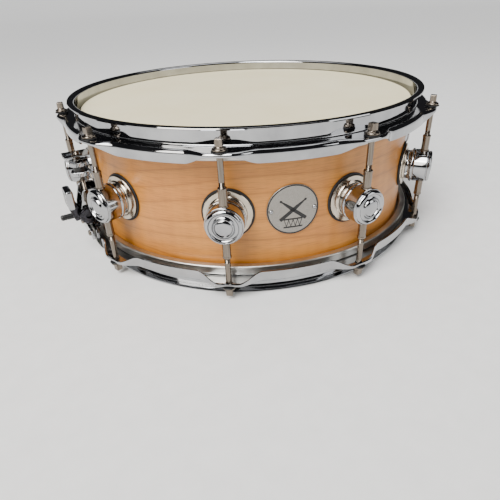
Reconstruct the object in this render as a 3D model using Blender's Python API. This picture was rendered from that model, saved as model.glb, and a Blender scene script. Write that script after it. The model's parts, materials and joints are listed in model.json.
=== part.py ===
"""Snare drum, 14 by 5 inches: maple shell, ten turret lugs, triple-flanged hoops, throw-off strainer.

Metres, +Z up. The origin is on the drum's axis, in the plane of the snare-side rim that it rests on.
The strainer faces -X, the butt plate +X, and the snare wires run along X between them.
Angles around the drum are counted from -Y towards +X, and one lug stands at -Y.
"""

import math

import bmesh
import bpy
from mathutils import Matrix, Vector

# Shell
SHELL_RADIUS = 0.1778
SHELL_HEIGHT = 0.1270
SHELL_WALL = 0.0070
EDGE_CROWN = 0.0015
LUG_COUNT = 10

# Room between pieces
CLEARANCE = 0.0003
RUNNING_PLAY = 0.0005

# Hoops and heads, measured from the shell's edge plane
RIM_RISE = 0.0118
HOOP_SHELL_GAP = 0.0036
HOOP_STEEL = 0.0023
RIM_ROLL = 0.0076
FLANGE_DROP = 0.0032
SKIRT_OFFSET = 0.0142
SKIRT_DEPTH = 0.0090
FLANGE_ROUND = 0.0014
EAR_HALF_WIDTH = 0.0085
EAR_BLEND = 0.0220
EAR_OVERHANG = 0.0051
FILM = 0.0004
FLESH_HEIGHT = 0.0090
FLESH_WALL = 0.0011
FLESH_FLOOR = 0.0012
FLESH_WIDTH = 0.0064

# Tension rods and lugs
ROD_STANDOFF = 0.0205
ROD_RADIUS = 0.0026
ROD_FLANGE_RADIUS = 0.0058
ROD_FLANGE = 0.0020
ROD_NECK = 0.0008
ROD_SQUARE = 0.0061
ROD_SQUARE_HEIGHT = 0.0062
WASHER = 0.0010
GASKET_RADIUS = 0.0232
GASKET_HOLE = 0.0150
GASKET = 0.0015
ESCUTCHEON_RADIUS = 0.0215
ESCUTCHEON = 0.0014
WAIST_RADIUS = 0.0148
BARREL_RADIUS = 0.0171
BARREL_BACK = 0.0104
BARREL_FRONT = 0.0300
BARREL_CHAMFER = 0.0026
RECEIVER_RADIUS = 0.0036
RECEIVER_REACH = 0.0320
RECEIVER_FLOOR = 0.0140
LUG_SCREW_SPACING = 0.0180
SCREW_HOLE_RADIUS = 0.0026

# Badge and air vent
BADGE_RADIUS = 0.0233
BADGE_THICKNESS = 0.0012
VENT_BORE = 0.0036
VENT_TUBE = 0.0050
VENT_FLANGE_RADIUS = 0.0085
VENT_FLANGE = 0.0012
VENT_FLARE_RADIUS = 0.0066

# Snare wires and straps
STRAND_COUNT = 20
STRAND_PITCH = 0.0034
STRAND_WIDTH = 0.0016
WIRES_INSET = 0.0188
END_PLATE = 0.0120
STRAP_WIDTH = 0.0440
STRAP_THICKNESS = 0.0006
STRAP_BEND = 0.0060
GATE_WIDTH = 0.0580
SNARE_TRAVEL = 0.0035

# Strainer and butt plate, measured outwards from the shell's surface
PLATE_THICKNESS = 0.0030
STRAINER_HALF_WIDTH = 0.0145
CHEEK_INNER = 0.0102
CHEEK_OUTER = 0.0130
CHEEK_REACH = 0.0252
CHEEK_RISE = 0.0255
STRAINER_GAP = 0.0163
SHELF_THICKNESS = 0.0040
SHELF_REACH = 0.0282
PIVOT_OUT = 0.0202
PIVOT_RISE = 0.0142
PIN_RADIUS = 0.0025
PIN_HEAD_RADIUS = 0.0085
PIN_HEAD = 0.0055
PIN_SOCKET_RADIUS = 0.0030
PIN_SOCKET = 0.0030
HUB_RADIUS = 0.0060
SCREW_OUT = 0.0152
SCREW_RADIUS = 0.0024
JAW_OUT = 0.0152
NOTCH_GAP = 0.0012
JAW_THICKNESS = 0.0032
JAW_HEIGHT = 0.0100
BRIDGE = 0.0045
BOSS = 0.0050
JAW_HALF_WIDTH = 0.0250
CLAMP_THICKNESS = 0.0030
KNOB_RADIUS = 0.0095
KNOB_HEIGHT = 0.0150
KNOB_GAP = 0.0030
STEM_RADIUS = 0.0030
STEM_REACH = 0.0250
STEM_DROP = 0.0035
SLOT_PLAY = 0.0010
CUT_OVER = 0.0050

STEPS_AROUND = 50
STEPS_LUG = 14
STEPS_SMALL = 12

# What follows from the sizes above
BOTTOM_EDGE = RIM_RISE
TOP_EDGE = RIM_RISE + SHELL_HEIGHT
MIDDLE = RIM_RISE + SHELL_HEIGHT / 2
ROD_CIRCLE = SHELL_RADIUS + ROD_STANDOFF
HOOP_INNER = SHELL_RADIUS + HOOP_SHELL_GAP
SKIRT_OUTER = HOOP_INNER + SKIRT_OFFSET
EAR_RADIUS = ROD_CIRCLE + EAR_OVERHANG
FLANGE_UNDER = FLANGE_DROP + HOOP_STEEL
FLESH_INNER = HOOP_INNER - FLESH_WALL
FLESH_OUTER = FLESH_INNER + FLESH_WIDTH
STRAP_LEVEL = BOTTOM_EDGE - CLEARANCE - FILM - CLEARANCE - STRAND_WIDTH / 2
SKIRT_TOP = BOTTOM_EDGE + FLANGE_UNDER + SKIRT_DEPTH
WIRES_LENGTH = 2 * (SHELL_RADIUS - WIRES_INSET)
BADGE_ANGLE = -180.0 / LUG_COUNT
VENT_ANGLE = 180.0 + BADGE_ANGLE
BRIDGE_LOW = SKIRT_TOP + SNARE_TRAVEL + RUNNING_PLAY
JAW_TOP = BRIDGE_LOW + BRIDGE
JAW_LOW = JAW_TOP - JAW_HEIGHT
CHEEK_BOTTOM = JAW_TOP + 2 * RUNNING_PLAY
PIVOT_HEIGHT = JAW_TOP + PIVOT_RISE
CHEEK_TOP = PIVOT_HEIGHT + CHEEK_RISE
BOSS_LOW = PIVOT_HEIGHT + HUB_RADIUS + SNARE_TRAVEL + 2 * RUNNING_PLAY
BOSS_TOP = BOSS_LOW + BOSS
STRAINER_TOP = TOP_EDGE - FLANGE_UNDER - SKIRT_DEPTH - STRAINER_GAP
KNOB_LOW = STRAINER_TOP - SHELF_THICKNESS - KNOB_GAP - KNOB_HEIGHT
JAW_BACK = SHELL_RADIUS + JAW_OUT
JAW_FRONT = JAW_BACK + JAW_THICKNESS
STRAP_FACE = JAW_FRONT + RUNNING_PLAY + STRAP_THICKNESS / 2
BACK_FACE = SHELL_RADIUS + CLEARANCE
PLATE_FRONT = BACK_FACE + PLATE_THICKNESS


def clear_scene():
    for thing in list(bpy.data.objects):
        bpy.data.objects.remove(thing, do_unlink=True)


def principled(name, color, metallic, roughness):
    material = bpy.data.materials.new(name)
    material.use_nodes = True
    shader = material.node_tree.nodes["Principled BSDF"]
    shader.inputs["Base Color"].default_value = (*color, 1.0)
    shader.inputs["Metallic"].default_value = metallic
    shader.inputs["Roughness"].default_value = roughness
    return material


def finish_mesh(name, bm):
    """Close off a bmesh as a mesh whose faces all point out, smooth on its round parts."""
    bmesh.ops.recalc_face_normals(bm, faces=bm.faces[:])
    mesh = bpy.data.meshes.new(name)
    bm.to_mesh(mesh)
    bm.free()
    mesh.shade_smooth()
    mesh.set_sharp_from_angle(angle=math.radians(35))
    return mesh


def add_object(name, mesh, material, location=(0, 0, 0), angle=0.0, parent=None):
    thing = bpy.data.objects.new(name, mesh)
    bpy.context.scene.collection.objects.link(thing)
    thing.location = location
    thing.rotation_euler = (0, 0, math.radians(angle))
    thing.parent = parent
    if material and not mesh.materials:
        mesh.materials.append(material)
    return thing


def around(radius, angle, height):
    """A point at a radius and an angle around the drum, counted from -Y towards +X."""
    turn = math.radians(angle)
    return Vector((radius * math.sin(turn), -radius * math.cos(turn), height))


def turned(outline, steps, closed):
    """Spin an outline of (radius, height) pairs around Z. A closed outline makes a ring."""
    bm = bmesh.new()
    corners = [bm.verts.new((0, -radius, height)) for radius, height in outline]
    edges = [bm.edges.new(pair) for pair in zip(corners, corners[1:])]
    if closed:
        edges.append(bm.edges.new((corners[-1], corners[0])))
    bmesh.ops.spin(
        bm,
        geom=corners + edges,
        axis=(0, 0, 1),
        cent=(0, 0, 0),
        steps=steps,
        angle=2 * math.pi,
        use_merge=True,
    )
    bmesh.ops.remove_doubles(bm, verts=bm.verts[:], dist=1e-6)
    return bm


def face_outwards(bm):
    """Lay a piece turned around Z so that its axis points out of the drum, along -Y."""
    bmesh.ops.rotate(bm, verts=bm.verts[:], matrix=Matrix.Rotation(math.radians(90), 3, "X"))
    return bm


def bend_to_shell(bm, depth):
    """Let the back of a piece, up to a depth from the shell, follow the shell's curve."""
    for corner in bm.verts:
        if -corner.co.y <= depth:
            sag = SHELL_RADIUS - math.sqrt(SHELL_RADIUS**2 - corner.co.x**2)
            corner.co.y += sag
    return bm


def rounded(points, radius, steps=4):
    """A path through points whose corners are arcs of one radius."""
    path = [Vector(points[0])]
    for before, corner, after in zip(points, points[1:], points[2:]):
        corner = Vector(corner)
        back = (Vector(before) - corner).normalized()
        on = (Vector(after) - corner).normalized()
        half = back.angle(on) / 2
        reach = radius / math.tan(half)
        centre = corner + (back + on).normalized() * (radius / math.sin(half))
        start = corner + back * reach - centre
        end = corner + on * reach - centre
        for step in range(steps + 1):
            path.append(centre + start.slerp(end, step / steps).normalized() * radius)
    path.append(Vector(points[-1]))
    return path


def slab(outline, low, high, origin=(0.0, 0.0)):
    """Extrude an outline of (distance out, height) pairs sideways from low to high.

    Distance out runs along -Y. The origin pair is where the finished object's own origin lies.
    """
    bm = bmesh.new()
    corners = [bm.verts.new((low, origin[0] - out, height - origin[1])) for out, height in outline]
    face = bm.faces.new(corners)
    moved = bmesh.ops.extrude_face_region(bm, geom=[face])["geom"]
    moved = [item for item in moved if isinstance(item, bmesh.types.BMVert)]
    bmesh.ops.translate(bm, verts=moved, vec=(high - low, 0, 0))
    return bm


def block(out, height, half_width, origin=(0.0, 0.0)):
    """A box between two distances out and two heights."""
    outline = [(out[0], height[0]), (out[1], height[0]), (out[1], height[1]), (out[0], height[1])]
    return slab(outline, -half_width, half_width, origin)


def rod(radius, start, end, steps=STEPS_SMALL):
    """A plain cylinder between two points."""
    start, end = Vector(start), Vector(end)
    run = end - start
    bm = bmesh.new()
    bmesh.ops.create_cone(
        bm, cap_ends=True, segments=steps, radius1=radius, radius2=radius, depth=run.length
    )
    turn = run.to_track_quat("Z", "Y").to_matrix().to_4x4()
    place = Matrix.Translation((start + end) / 2) @ turn
    bmesh.ops.transform(bm, matrix=place, verts=bm.verts[:])
    return bm


def combine(name, base, joins=(), cuts=()):
    """Join bodies to a base body and cut others from it, and return one mesh."""
    thing = bpy.data.objects.new(name, finish_mesh(name, base))
    bpy.context.scene.collection.objects.link(thing)
    helpers = []
    for operation, tools in (("UNION", joins), ("DIFFERENCE", cuts)):
        for tool in tools:
            helper = bpy.data.objects.new(name + "_tool", finish_mesh(name + "_tool", tool))
            bpy.context.scene.collection.objects.link(helper)
            step = thing.modifiers.new("Boolean", "BOOLEAN")
            step.operation = operation
            step.solver = "EXACT"
            step.object = helper
            helpers.append(helper)
    shape = thing.evaluated_get(bpy.context.evaluated_depsgraph_get())
    mesh = bpy.data.meshes.new_from_object(shape)
    mesh.name = name
    for used in helpers + [thing]:
        bpy.data.objects.remove(used, do_unlink=True)
    bm = bmesh.new()
    bm.from_mesh(mesh)
    bpy.data.meshes.remove(mesh)
    bmesh.ops.remove_doubles(bm, verts=bm.verts[:], dist=1e-6)
    bmesh.ops.dissolve_limit(
        bm, angle_limit=math.radians(0.5), verts=bm.verts[:], edges=bm.edges[:]
    )
    return finish_mesh(name, bm)


def lug_angles():
    return [index * 360.0 / LUG_COUNT for index in range(LUG_COUNT)]


def build_shell(material):
    """Maple cylinder with a 45 degree cut inside each bearing edge, and its drilled holes."""
    inner = SHELL_RADIUS - SHELL_WALL
    crown = SHELL_RADIUS - EDGE_CROWN
    cut = SHELL_WALL - EDGE_CROWN
    outline = [
        (inner, BOTTOM_EDGE + cut),
        (crown, BOTTOM_EDGE),
        (SHELL_RADIUS, BOTTOM_EDGE + EDGE_CROWN),
        (SHELL_RADIUS, TOP_EDGE - EDGE_CROWN),
        (crown, TOP_EDGE),
        (inner, TOP_EDGE - cut),
    ]
    spots = []
    for angle in lug_angles():
        for side in (-1, 1):
            spots.append((angle, MIDDLE + side * LUG_SCREW_SPACING / 2, SCREW_HOLE_RADIUS, 8))
    spots.append((VENT_ANGLE, MIDDLE, VENT_TUBE + CLEARANCE, STEPS_LUG))
    for angle in (-90.0, 90.0):
        for height in fixing_heights(angle):
            spots.append((angle, height, SCREW_HOLE_RADIUS, 8))
    drills = bmesh.new()
    for angle, height, radius, steps in spots:
        start = around(inner - 4 * SHELL_WALL, angle, height)
        end = around(SHELL_RADIUS + SHELL_WALL, angle, height)
        drill = rod(radius, start, end, steps)
        spare = bpy.data.meshes.new("drill")
        drill.to_mesh(spare)
        drill.free()
        drills.from_mesh(spare)
        bpy.data.meshes.remove(spare)
    mesh = combine("shell", turned(outline, STEPS_AROUND, True), cuts=[drills])
    return add_object("shell", mesh, material)


def fixing_heights(angle):
    """Heights of the screw holes behind the strainer (-90) and the butt plate (+90)."""
    if angle < 0:
        return (CHEEK_TOP + 0.012, CHEEK_BOTTOM + 0.010)
    return (butt_top() - 0.008, JAW_TOP + 0.005)


def butt_top():
    return JAW_TOP + 0.030


def build_head(name, edge, side, material):
    """Film stretched over a bearing edge, its collar ending inside the flesh hoop's channel."""
    crown = SHELL_RADIUS - EDGE_CROWN / 2
    hem_radius = FLESH_INNER + FLESH_WALL + 2 * CLEARANCE
    hem = FLANGE_UNDER + CLEARANCE + FLESH_HEIGHT - FLESH_FLOOR - CLEARANCE
    collar = FLANGE_UNDER + CLEARANCE + FLESH_HEIGHT / 2
    lift = CLEARANCE
    outer = [
        (0, lift + FILM),
        (crown, lift + FILM),
        (SHELL_RADIUS + lift + FILM, -EDGE_CROWN),
        (hem_radius + FILM, -collar),
        (hem_radius + FILM, -hem),
    ]
    inner = [
        (hem_radius, -hem),
        (hem_radius, -collar),
        (SHELL_RADIUS + lift, -EDGE_CROWN),
        (crown, lift),
        (0, lift),
    ]
    outline = [(radius, side * height) for radius, height in outer + inner]
    mesh = finish_mesh(name, turned(outline, STEPS_AROUND, False))
    return add_object(name, mesh, material, (0, 0, edge))


def build_flesh_hoop(name, edge, side, material):
    """Metal channel that grips the head's collar, low on its inner side."""
    high = -FLANGE_UNDER - CLEARANCE
    low = high - FLESH_HEIGHT
    floor = low + FLESH_FLOOR
    lip = low + 0.0033
    outline = [
        (FLESH_INNER, low),
        (FLESH_OUTER, low),
        (FLESH_OUTER, high),
        (FLESH_OUTER - FLESH_WALL, high),
        (FLESH_OUTER - FLESH_WALL, floor),
        (FLESH_INNER + FLESH_WALL, floor),
        (FLESH_INNER + FLESH_WALL, lip),
        (FLESH_INNER, lip),
    ]
    outline = [(radius, side * height) for radius, height in outline]
    mesh = finish_mesh(name, turned(outline, STEPS_AROUND, True))
    return add_object(name, mesh, material, (0, 0, edge))


def ease(value):
    value = min(max(value, 0.0), 1.0)
    return value * value * (3 - 2 * value)


def hoop_section(offset):
    """Closed outline of a hoop, at a distance along its rod circle from the nearest rod."""
    away = ease((abs(offset) - EAR_HALF_WIDTH) / EAR_BLEND)
    reach = EAR_RADIUS + (SKIRT_OUTER - EAR_RADIUS) * away
    low = -FLANGE_UNDER - SKIRT_DEPTH * away
    corner = FLANGE_ROUND
    under = max(low, -FLANGE_UNDER)
    wall = HOOP_INNER + HOOP_STEEL
    rim = HOOP_INNER + RIM_ROLL
    return [
        (HOOP_INNER, -FLANGE_UNDER),
        (HOOP_INNER, RIM_RISE),
        (rim, RIM_RISE),
        (rim, RIM_RISE - HOOP_STEEL),
        (wall, RIM_RISE - HOOP_STEEL),
        (wall, -FLANGE_DROP),
        (reach - corner, -FLANGE_DROP),
        (reach, -FLANGE_DROP - 0.9 * corner),
        (reach, low - 0.0001 * (1 - away)),
        (reach - HOOP_STEEL, low - 0.0001 * (1 - away)),
        (reach - HOOP_STEEL - 0.0002, under),
    ]


def hoop_offsets():
    """Distances from one rod to the middle of the gap, closer together along the ear's curve."""
    half = math.pi * ROD_CIRCLE / LUG_COUNT
    bend = [EAR_HALF_WIDTH + EAR_BLEND * share for share in (0.0, 0.5, 1.0)]
    rest = (bend[-1] + half) / 2
    return [-distance for distance in reversed(bend + [rest])] + bend + [rest, half]


def build_hoop(name, edge, side, material, gates):
    """Triple-flanged steel hoop: rolled rim, wall, flange, skirt, and an ear at each rod."""
    bm = bmesh.new()
    loops = []
    for angle in lug_angles():
        for offset in hoop_offsets():
            turn = angle + math.degrees(offset / ROD_CIRCLE)
            section = hoop_section(offset)
            loops.append([bm.verts.new(around(r, turn, side * h)) for r, h in section])
    for loop, following in zip(loops, loops[1:] + loops[:1]):
        for index in range(len(loop)):
            after = (index + 1) % len(loop)
            bm.faces.new((loop[index], following[index], following[after], loop[after]))
    cuts = bmesh.new()
    tools = [hole_tool(angle, side) for angle in lug_angles()]
    if gates:
        tools += [gate_tool(side, way) for way in (-1, 1)]
        tools += [notch_tool(side, way) for way in (-1, 1)]
    for tool in tools:
        spare = bpy.data.meshes.new("cut")
        tool.to_mesh(spare)
        tool.free()
        cuts.from_mesh(spare)
        bpy.data.meshes.remove(spare)
    mesh = combine(name, bm, cuts=[cuts])
    return add_object(name, mesh, material, (0, 0, edge))


def hole_tool(angle, side):
    """Cutter for one rod hole in an ear."""
    low = around(ROD_CIRCLE, angle, side * (-FLANGE_UNDER - 0.004))
    high = around(ROD_CIRCLE, angle, side * (-FLANGE_DROP + 0.004))
    return rod(ROD_RADIUS + 2 * CLEARANCE + 0.0002, low, high, 8)


def gate_tool(side, way):
    """Cutter for the snare gate, the window in the hoop's wall that a strap passes through."""
    reach = HOOP_INNER + HOOP_STEEL + 0.0018
    heights = (side * (RIM_RISE - HOOP_STEEL - 0.0008), side * (-FLANGE_DROP + 0.0006))
    bm = block((HOOP_INNER - 0.010, reach), heights, GATE_WIDTH / 2)
    bmesh.ops.rotate(bm, verts=bm.verts[:], matrix=Matrix.Rotation(math.radians(90 * way), 3, "Z"))
    return bm


def notch_tool(side, way):
    """Cutter that opens the flange and skirt below a snare gate, so the strap's jaw fits in."""
    reach = (JAW_BACK - NOTCH_GAP, EAR_RADIUS + CUT_OVER)
    heights = (side * CUT_OVER, -side * (FLANGE_UNDER + SKIRT_DEPTH + CUT_OVER))
    bm = block(reach, heights, GATE_WIDTH / 2)
    bmesh.ops.rotate(bm, verts=bm.verts[:], matrix=Matrix.Rotation(math.radians(90 * way), 3, "Z"))
    return bm


def lug_mesh():
    """Turret lug: curved escutcheon, waist, barrel, and a threaded receiver above and below."""
    back = 2 * CLEARANCE + GASKET
    front = back + ESCUTCHEON
    outline = [
        (0, back),
        (ESCUTCHEON_RADIUS * 0.6, back),
        (ESCUTCHEON_RADIUS, back),
        (ESCUTCHEON_RADIUS, front),
        (WAIST_RADIUS, front + 0.0016),
        (WAIST_RADIUS, BARREL_BACK - 0.0012),
        (BARREL_RADIUS, BARREL_BACK),
        (BARREL_RADIUS, BARREL_FRONT - BARREL_CHAMFER),
        (BARREL_RADIUS - BARREL_CHAMFER, BARREL_FRONT),
        (0, BARREL_FRONT),
    ]
    body = bend_to_shell(face_outwards(turned(outline, STEPS_LUG, False)), front + 0.0001)
    tube = rod(RECEIVER_RADIUS, (0, -ROD_STANDOFF, -RECEIVER_REACH), (0, -ROD_STANDOFF, RECEIVER_REACH), 10)
    bores = []
    for side in (-1, 1):
        deep = (0, -ROD_STANDOFF, side * RECEIVER_FLOOR)
        mouth = (0, -ROD_STANDOFF, side * (RECEIVER_REACH + 0.002))
        bores.append(rod(ROD_RADIUS + CLEARANCE, deep, mouth, 8))
    return combine("turret_lug", body, joins=[tube], cuts=bores)


def gasket_mesh():
    """Thin rubber ring between a lug and the shell."""
    outline = [
        (GASKET_HOLE, CLEARANCE),
        (GASKET_RADIUS, CLEARANCE),
        (GASKET_RADIUS, CLEARANCE + GASKET),
        (GASKET_HOLE, CLEARANCE + GASKET),
    ]
    return finish_mesh("lug_gasket", bend_to_shell(face_outwards(turned(outline, STEPS_LUG, True)), 1.0))


def tension_rod_mesh():
    """Threaded rod with a round flange and a square key head. Its origin is under the flange."""
    seat = TOP_EDGE - FLANGE_DROP + WASHER + CLEARANCE
    length = seat - (MIDDLE + RECEIVER_FLOOR + 0.001)
    square = ROD_SQUARE / 2
    rings = [
        (ROD_RADIUS, ROD_RADIUS, -length),
        (ROD_RADIUS, ROD_RADIUS, 0.0),
        (ROD_FLANGE_RADIUS, ROD_FLANGE_RADIUS, 0.0),
        (ROD_FLANGE_RADIUS, ROD_FLANGE_RADIUS, ROD_FLANGE),
        (square, square * math.sqrt(2), ROD_FLANGE + ROD_NECK),
        (square, square * math.sqrt(2), ROD_FLANGE + ROD_NECK + ROD_SQUARE_HEIGHT),
    ]
    bm = bmesh.new()
    loops = []
    for flat, corner, height in rings:
        loop = []
        for step in range(8):
            turn = math.radians(45 * step)
            radius = corner if step % 2 else flat
            loop.append(bm.verts.new((radius * math.cos(turn), radius * math.sin(turn), height)))
        loops.append(loop)
    for loop, following in zip(loops, loops[1:]):
        for index in range(8):
            after = (index + 1) % 8
            bm.faces.new((loop[index], loop[after], following[after], following[index]))
    bm.faces.new(loops[0])
    bm.faces.new(loops[-1])
    return finish_mesh("tension_rod", bm)


def build_hardware(chrome, rubber, rod_steel):
    """Lugs, gaskets and tension rods, one set at each of the lug angles."""
    lug, gasket, key_rod = lug_mesh(), gasket_mesh(), tension_rod_mesh()
    seat = TOP_EDGE - FLANGE_DROP + WASHER + CLEARANCE
    for number, angle in enumerate(lug_angles(), start=1):
        centre = around(SHELL_RADIUS, angle, MIDDLE)
        add_object(f"turret_lug_{number:02d}", lug, chrome, centre, angle)
        add_object(f"lug_gasket_{number:02d}", gasket, rubber, centre, angle)
        add_object(
            f"batter_tension_rod_{number:02d}", key_rod, rod_steel, around(ROD_CIRCLE, angle, seat), angle
        )
        low = around(ROD_CIRCLE, angle, 2 * MIDDLE - seat)
        upturned = add_object(f"snare_side_tension_rod_{number:02d}", key_rod, rod_steel, low, 0.0)
        upturned.rotation_euler = (math.pi, 0, math.radians(angle))


def build_badge(material):
    """Round metal badge, bent to the shell."""
    outline = [
        (0, CLEARANCE),
        (BADGE_RADIUS * 0.5, CLEARANCE),
        (BADGE_RADIUS, CLEARANCE),
        (BADGE_RADIUS, CLEARANCE + 0.6 * BADGE_THICKNESS),
        (BADGE_RADIUS - 0.0006, CLEARANCE + BADGE_THICKNESS),
        (BADGE_RADIUS * 0.5, CLEARANCE + BADGE_THICKNESS),
        (0, CLEARANCE + BADGE_THICKNESS),
    ]
    mesh = finish_mesh("badge", bend_to_shell(face_outwards(turned(outline, 24, False)), 1.0))
    return add_object("badge", mesh, material, around(SHELL_RADIUS, BADGE_ANGLE, MIDDLE), BADGE_ANGLE)


def build_vent(material):
    """Flanged air vent through the shell, flared inside."""
    inside = -SHELL_WALL - CLEARANCE
    outline = [
        (VENT_BORE, VENT_FLANGE + CLEARANCE),
        (VENT_FLANGE_RADIUS, VENT_FLANGE + CLEARANCE),
        (VENT_FLANGE_RADIUS, CLEARANCE),
        (VENT_TUBE, CLEARANCE),
        (VENT_TUBE, inside - CLEARANCE),
        (VENT_FLARE_RADIUS, inside - CLEARANCE),
        (VENT_FLARE_RADIUS, inside - CLEARANCE - 0.0008),
        (VENT_BORE, inside - CLEARANCE - 0.0008),
    ]
    mesh = finish_mesh("air_vent", face_outwards(turned(outline, STEPS_LUG, True)))
    return add_object("air_vent", mesh, material, around(SHELL_RADIUS, VENT_ANGLE, MIDDLE), VENT_ANGLE)


def build_wires(material):
    """Twenty strands between two end plates, in one sheet. Its origin is the hinge at the butt end."""
    half = WIRES_LENGTH / 2
    columns = [-half, -half + END_PLATE, half - END_PLATE, half]
    rows = []
    for index in range(STRAND_COUNT):
        centre = (index - (STRAND_COUNT - 1) / 2) * STRAND_PITCH
        rows += [centre - STRAND_WIDTH / 2, centre + STRAND_WIDTH / 2]
    bm = bmesh.new()
    grid = [[bm.verts.new((x - half, y, -STRAND_WIDTH / 2)) for x in columns] for y in rows]
    for low in range(len(rows) - 1):
        for left in range(len(columns) - 1):
            if left == 1 and low % 2:
                continue
            ring = (grid[low][left], grid[low][left + 1], grid[low + 1][left + 1], grid[low + 1][left])
            bm.faces.new(ring)
    moved = bmesh.ops.extrude_face_region(bm, geom=bm.faces[:])["geom"]
    moved = [item for item in moved if isinstance(item, bmesh.types.BMVert)]
    bmesh.ops.translate(bm, verts=moved, vec=(0, 0, STRAND_WIDTH))
    mesh = finish_mesh("snare_wires", bm)
    return add_object("snare_wires", mesh, material, (half, 0, STRAP_LEVEL))


def strap_mesh(name, start, origin):
    """Plastic strap: along under the head, out through the snare gate, and up into a jaw."""
    low_corner = JAW_BACK
    centre_line = rounded(
        [
            (start, STRAP_LEVEL),
            (low_corner, STRAP_LEVEL),
            (STRAP_FACE, JAW_LOW - 0.004),
            (STRAP_FACE, JAW_TOP - 0.001),
        ],
        STRAP_BEND,
    )
    above, below = [], []
    for index, point in enumerate(centre_line):
        before = centre_line[max(index - 1, 0)]
        after = centre_line[min(index + 1, len(centre_line) - 1)]
        along = (after - before).normalized()
        normal = Vector((-along.y, along.x)) * (STRAP_THICKNESS / 2)
        above.append(point + normal)
        below.append(point - normal)
    outline = above + list(reversed(below))
    return finish_mesh(name, slab(outline, -STRAP_WIDTH / 2, STRAP_WIDTH / 2, origin))


def build_straps(material):
    """Strainer strap, which moves with the wires, and the fixed butt strap."""
    half = WIRES_LENGTH / 2
    hinge = (-half, STRAP_LEVEL)
    near = strap_mesh("strainer_strap", half + CLEARANCE, hinge)
    add_object("strainer_strap", near, material, (half, 0, STRAP_LEVEL), -90.0)
    far = strap_mesh("butt_strap", half + 2 * RUNNING_PLAY, (half, STRAP_LEVEL))
    add_object("butt_strap", far, material, (half, 0, STRAP_LEVEL), 90.0)


def strainer_base_mesh():
    """Back plate, two cheeks that hold the lever's pin, and the shelf that guides the screw."""
    plate = block((BACK_FACE, PLATE_FRONT), (CHEEK_BOTTOM, STRAINER_TOP), STRAINER_HALF_WIDTH)
    overlap = PLATE_FRONT - 0.001
    reach = SHELL_RADIUS + CHEEK_REACH
    corner = 0.011
    side = rounded(
        [
            (overlap, CHEEK_TOP),
            (reach - 0.006, CHEEK_TOP),
            (reach, PIVOT_HEIGHT + 0.006),
            (reach, CHEEK_BOTTOM + 0.001),
            (overlap, CHEEK_BOTTOM + 0.001),
        ],
        0.004,
        3,
    )
    cheeks = [slab(side, way * CHEEK_INNER, way * CHEEK_OUTER) for way in (-1, 1)]
    shelf_reach = SHELL_RADIUS + SHELF_REACH
    shelf = block((overlap, shelf_reach), (STRAINER_TOP - SHELF_THICKNESS, STRAINER_TOP - 0.0001), corner)
    pivot = SHELL_RADIUS + PIVOT_OUT
    pin_hole = rod(PIN_RADIUS + CLEARANCE, (-0.02, -pivot, PIVOT_HEIGHT), (0.02, -pivot, PIVOT_HEIGHT))
    screw = SHELL_RADIUS + SCREW_OUT
    play = SCREW_RADIUS + SLOT_PLAY
    slot = block(
        (screw - play, shelf_reach + CUT_OVER),
        (STRAINER_TOP - SHELF_THICKNESS - CUT_OVER, STRAINER_TOP + CUT_OVER),
        play,
    )
    return combine("strainer_base", plate, joins=cheeks + [shelf], cuts=[pin_hole, slot])


def carriage_mesh(origin):
    """Slider between the cheeks, with the screw's boss on top and the strap's jaw below."""
    half = CHEEK_INNER - RUNNING_PLAY
    back = PLATE_FRONT + RUNNING_PLAY
    tongue_front = SHELL_RADIUS + PIVOT_OUT - HUB_RADIUS - 2 * RUNNING_PLAY
    tongue = block((back, tongue_front), (BRIDGE_LOW, BOSS_TOP), half, origin)
    boss_reach = SHELL_RADIUS + SCREW_OUT + 0.005
    boss = block((back + 0.001, boss_reach), (BOSS_LOW, BOSS_TOP - 0.0001), half - 0.0001, origin)
    jaw = block((JAW_BACK, JAW_FRONT), (JAW_LOW, JAW_TOP), JAW_HALF_WIDTH, origin)
    span = (back + 0.001, JAW_FRONT - 0.0005)
    bridge = block(span, (BRIDGE_LOW + 0.0001, JAW_TOP - 0.0005), half - 0.0001, origin)
    screw = origin[0] - SHELL_RADIUS - SCREW_OUT
    bore = rod(
        SCREW_RADIUS + CLEARANCE,
        (0, screw, BOSS_LOW - 0.002 - origin[1]),
        (0, screw, BOSS_TOP + 0.002 - origin[1]),
    )
    return combine("strainer_carriage", tongue, joins=[boss, jaw, bridge], cuts=[bore])


def clamp_mesh(name, origin):
    """Plate that presses a strap against its jaw."""
    back = STRAP_FACE + STRAP_THICKNESS / 2 + RUNNING_PLAY
    return finish_mesh(
        name, block((back, back + CLAMP_THICKNESS), (JAW_LOW, JAW_TOP), JAW_HALF_WIDTH, origin)
    )


def lever_mesh():
    """Throw-off lever around its pin: hub, web, broad paddle above and a slim stem out."""
    half = CHEEK_INNER - RUNNING_PLAY
    hub = rod(HUB_RADIUS, (-half, 0, 0), (half, 0, 0), STEPS_LUG)
    web = slab(
        [(0.000, -0.0050), (0.0120, -0.0070), (0.0160, 0.0080), (0.0075, 0.0100), (0.0040, 0.0030)],
        -half + 0.0001,
        half - 0.0001,
    )
    wide = JAW_HALF_WIDTH * 0.44
    near, far, low, high = 0.0085, 0.0160, 0.0060, 0.0260
    start = (near, 0.0165)
    outline = rounded([start, (near, low), (far, low), (far, high), (near, high), start], 0.0025, 3)
    paddle = slab(outline[:-1], -wide, wide)
    stem = rod(STEM_RADIUS, (0, -0.009, -STEM_DROP), (0, -STEM_REACH, -STEM_DROP), STEPS_SMALL)
    bore = rod(PIN_RADIUS + CLEARANCE, (-0.02, 0, 0), (0.02, 0, 0))
    return combine("strainer_lever", hub, joins=[web, paddle, stem], cuts=[bore])


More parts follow.
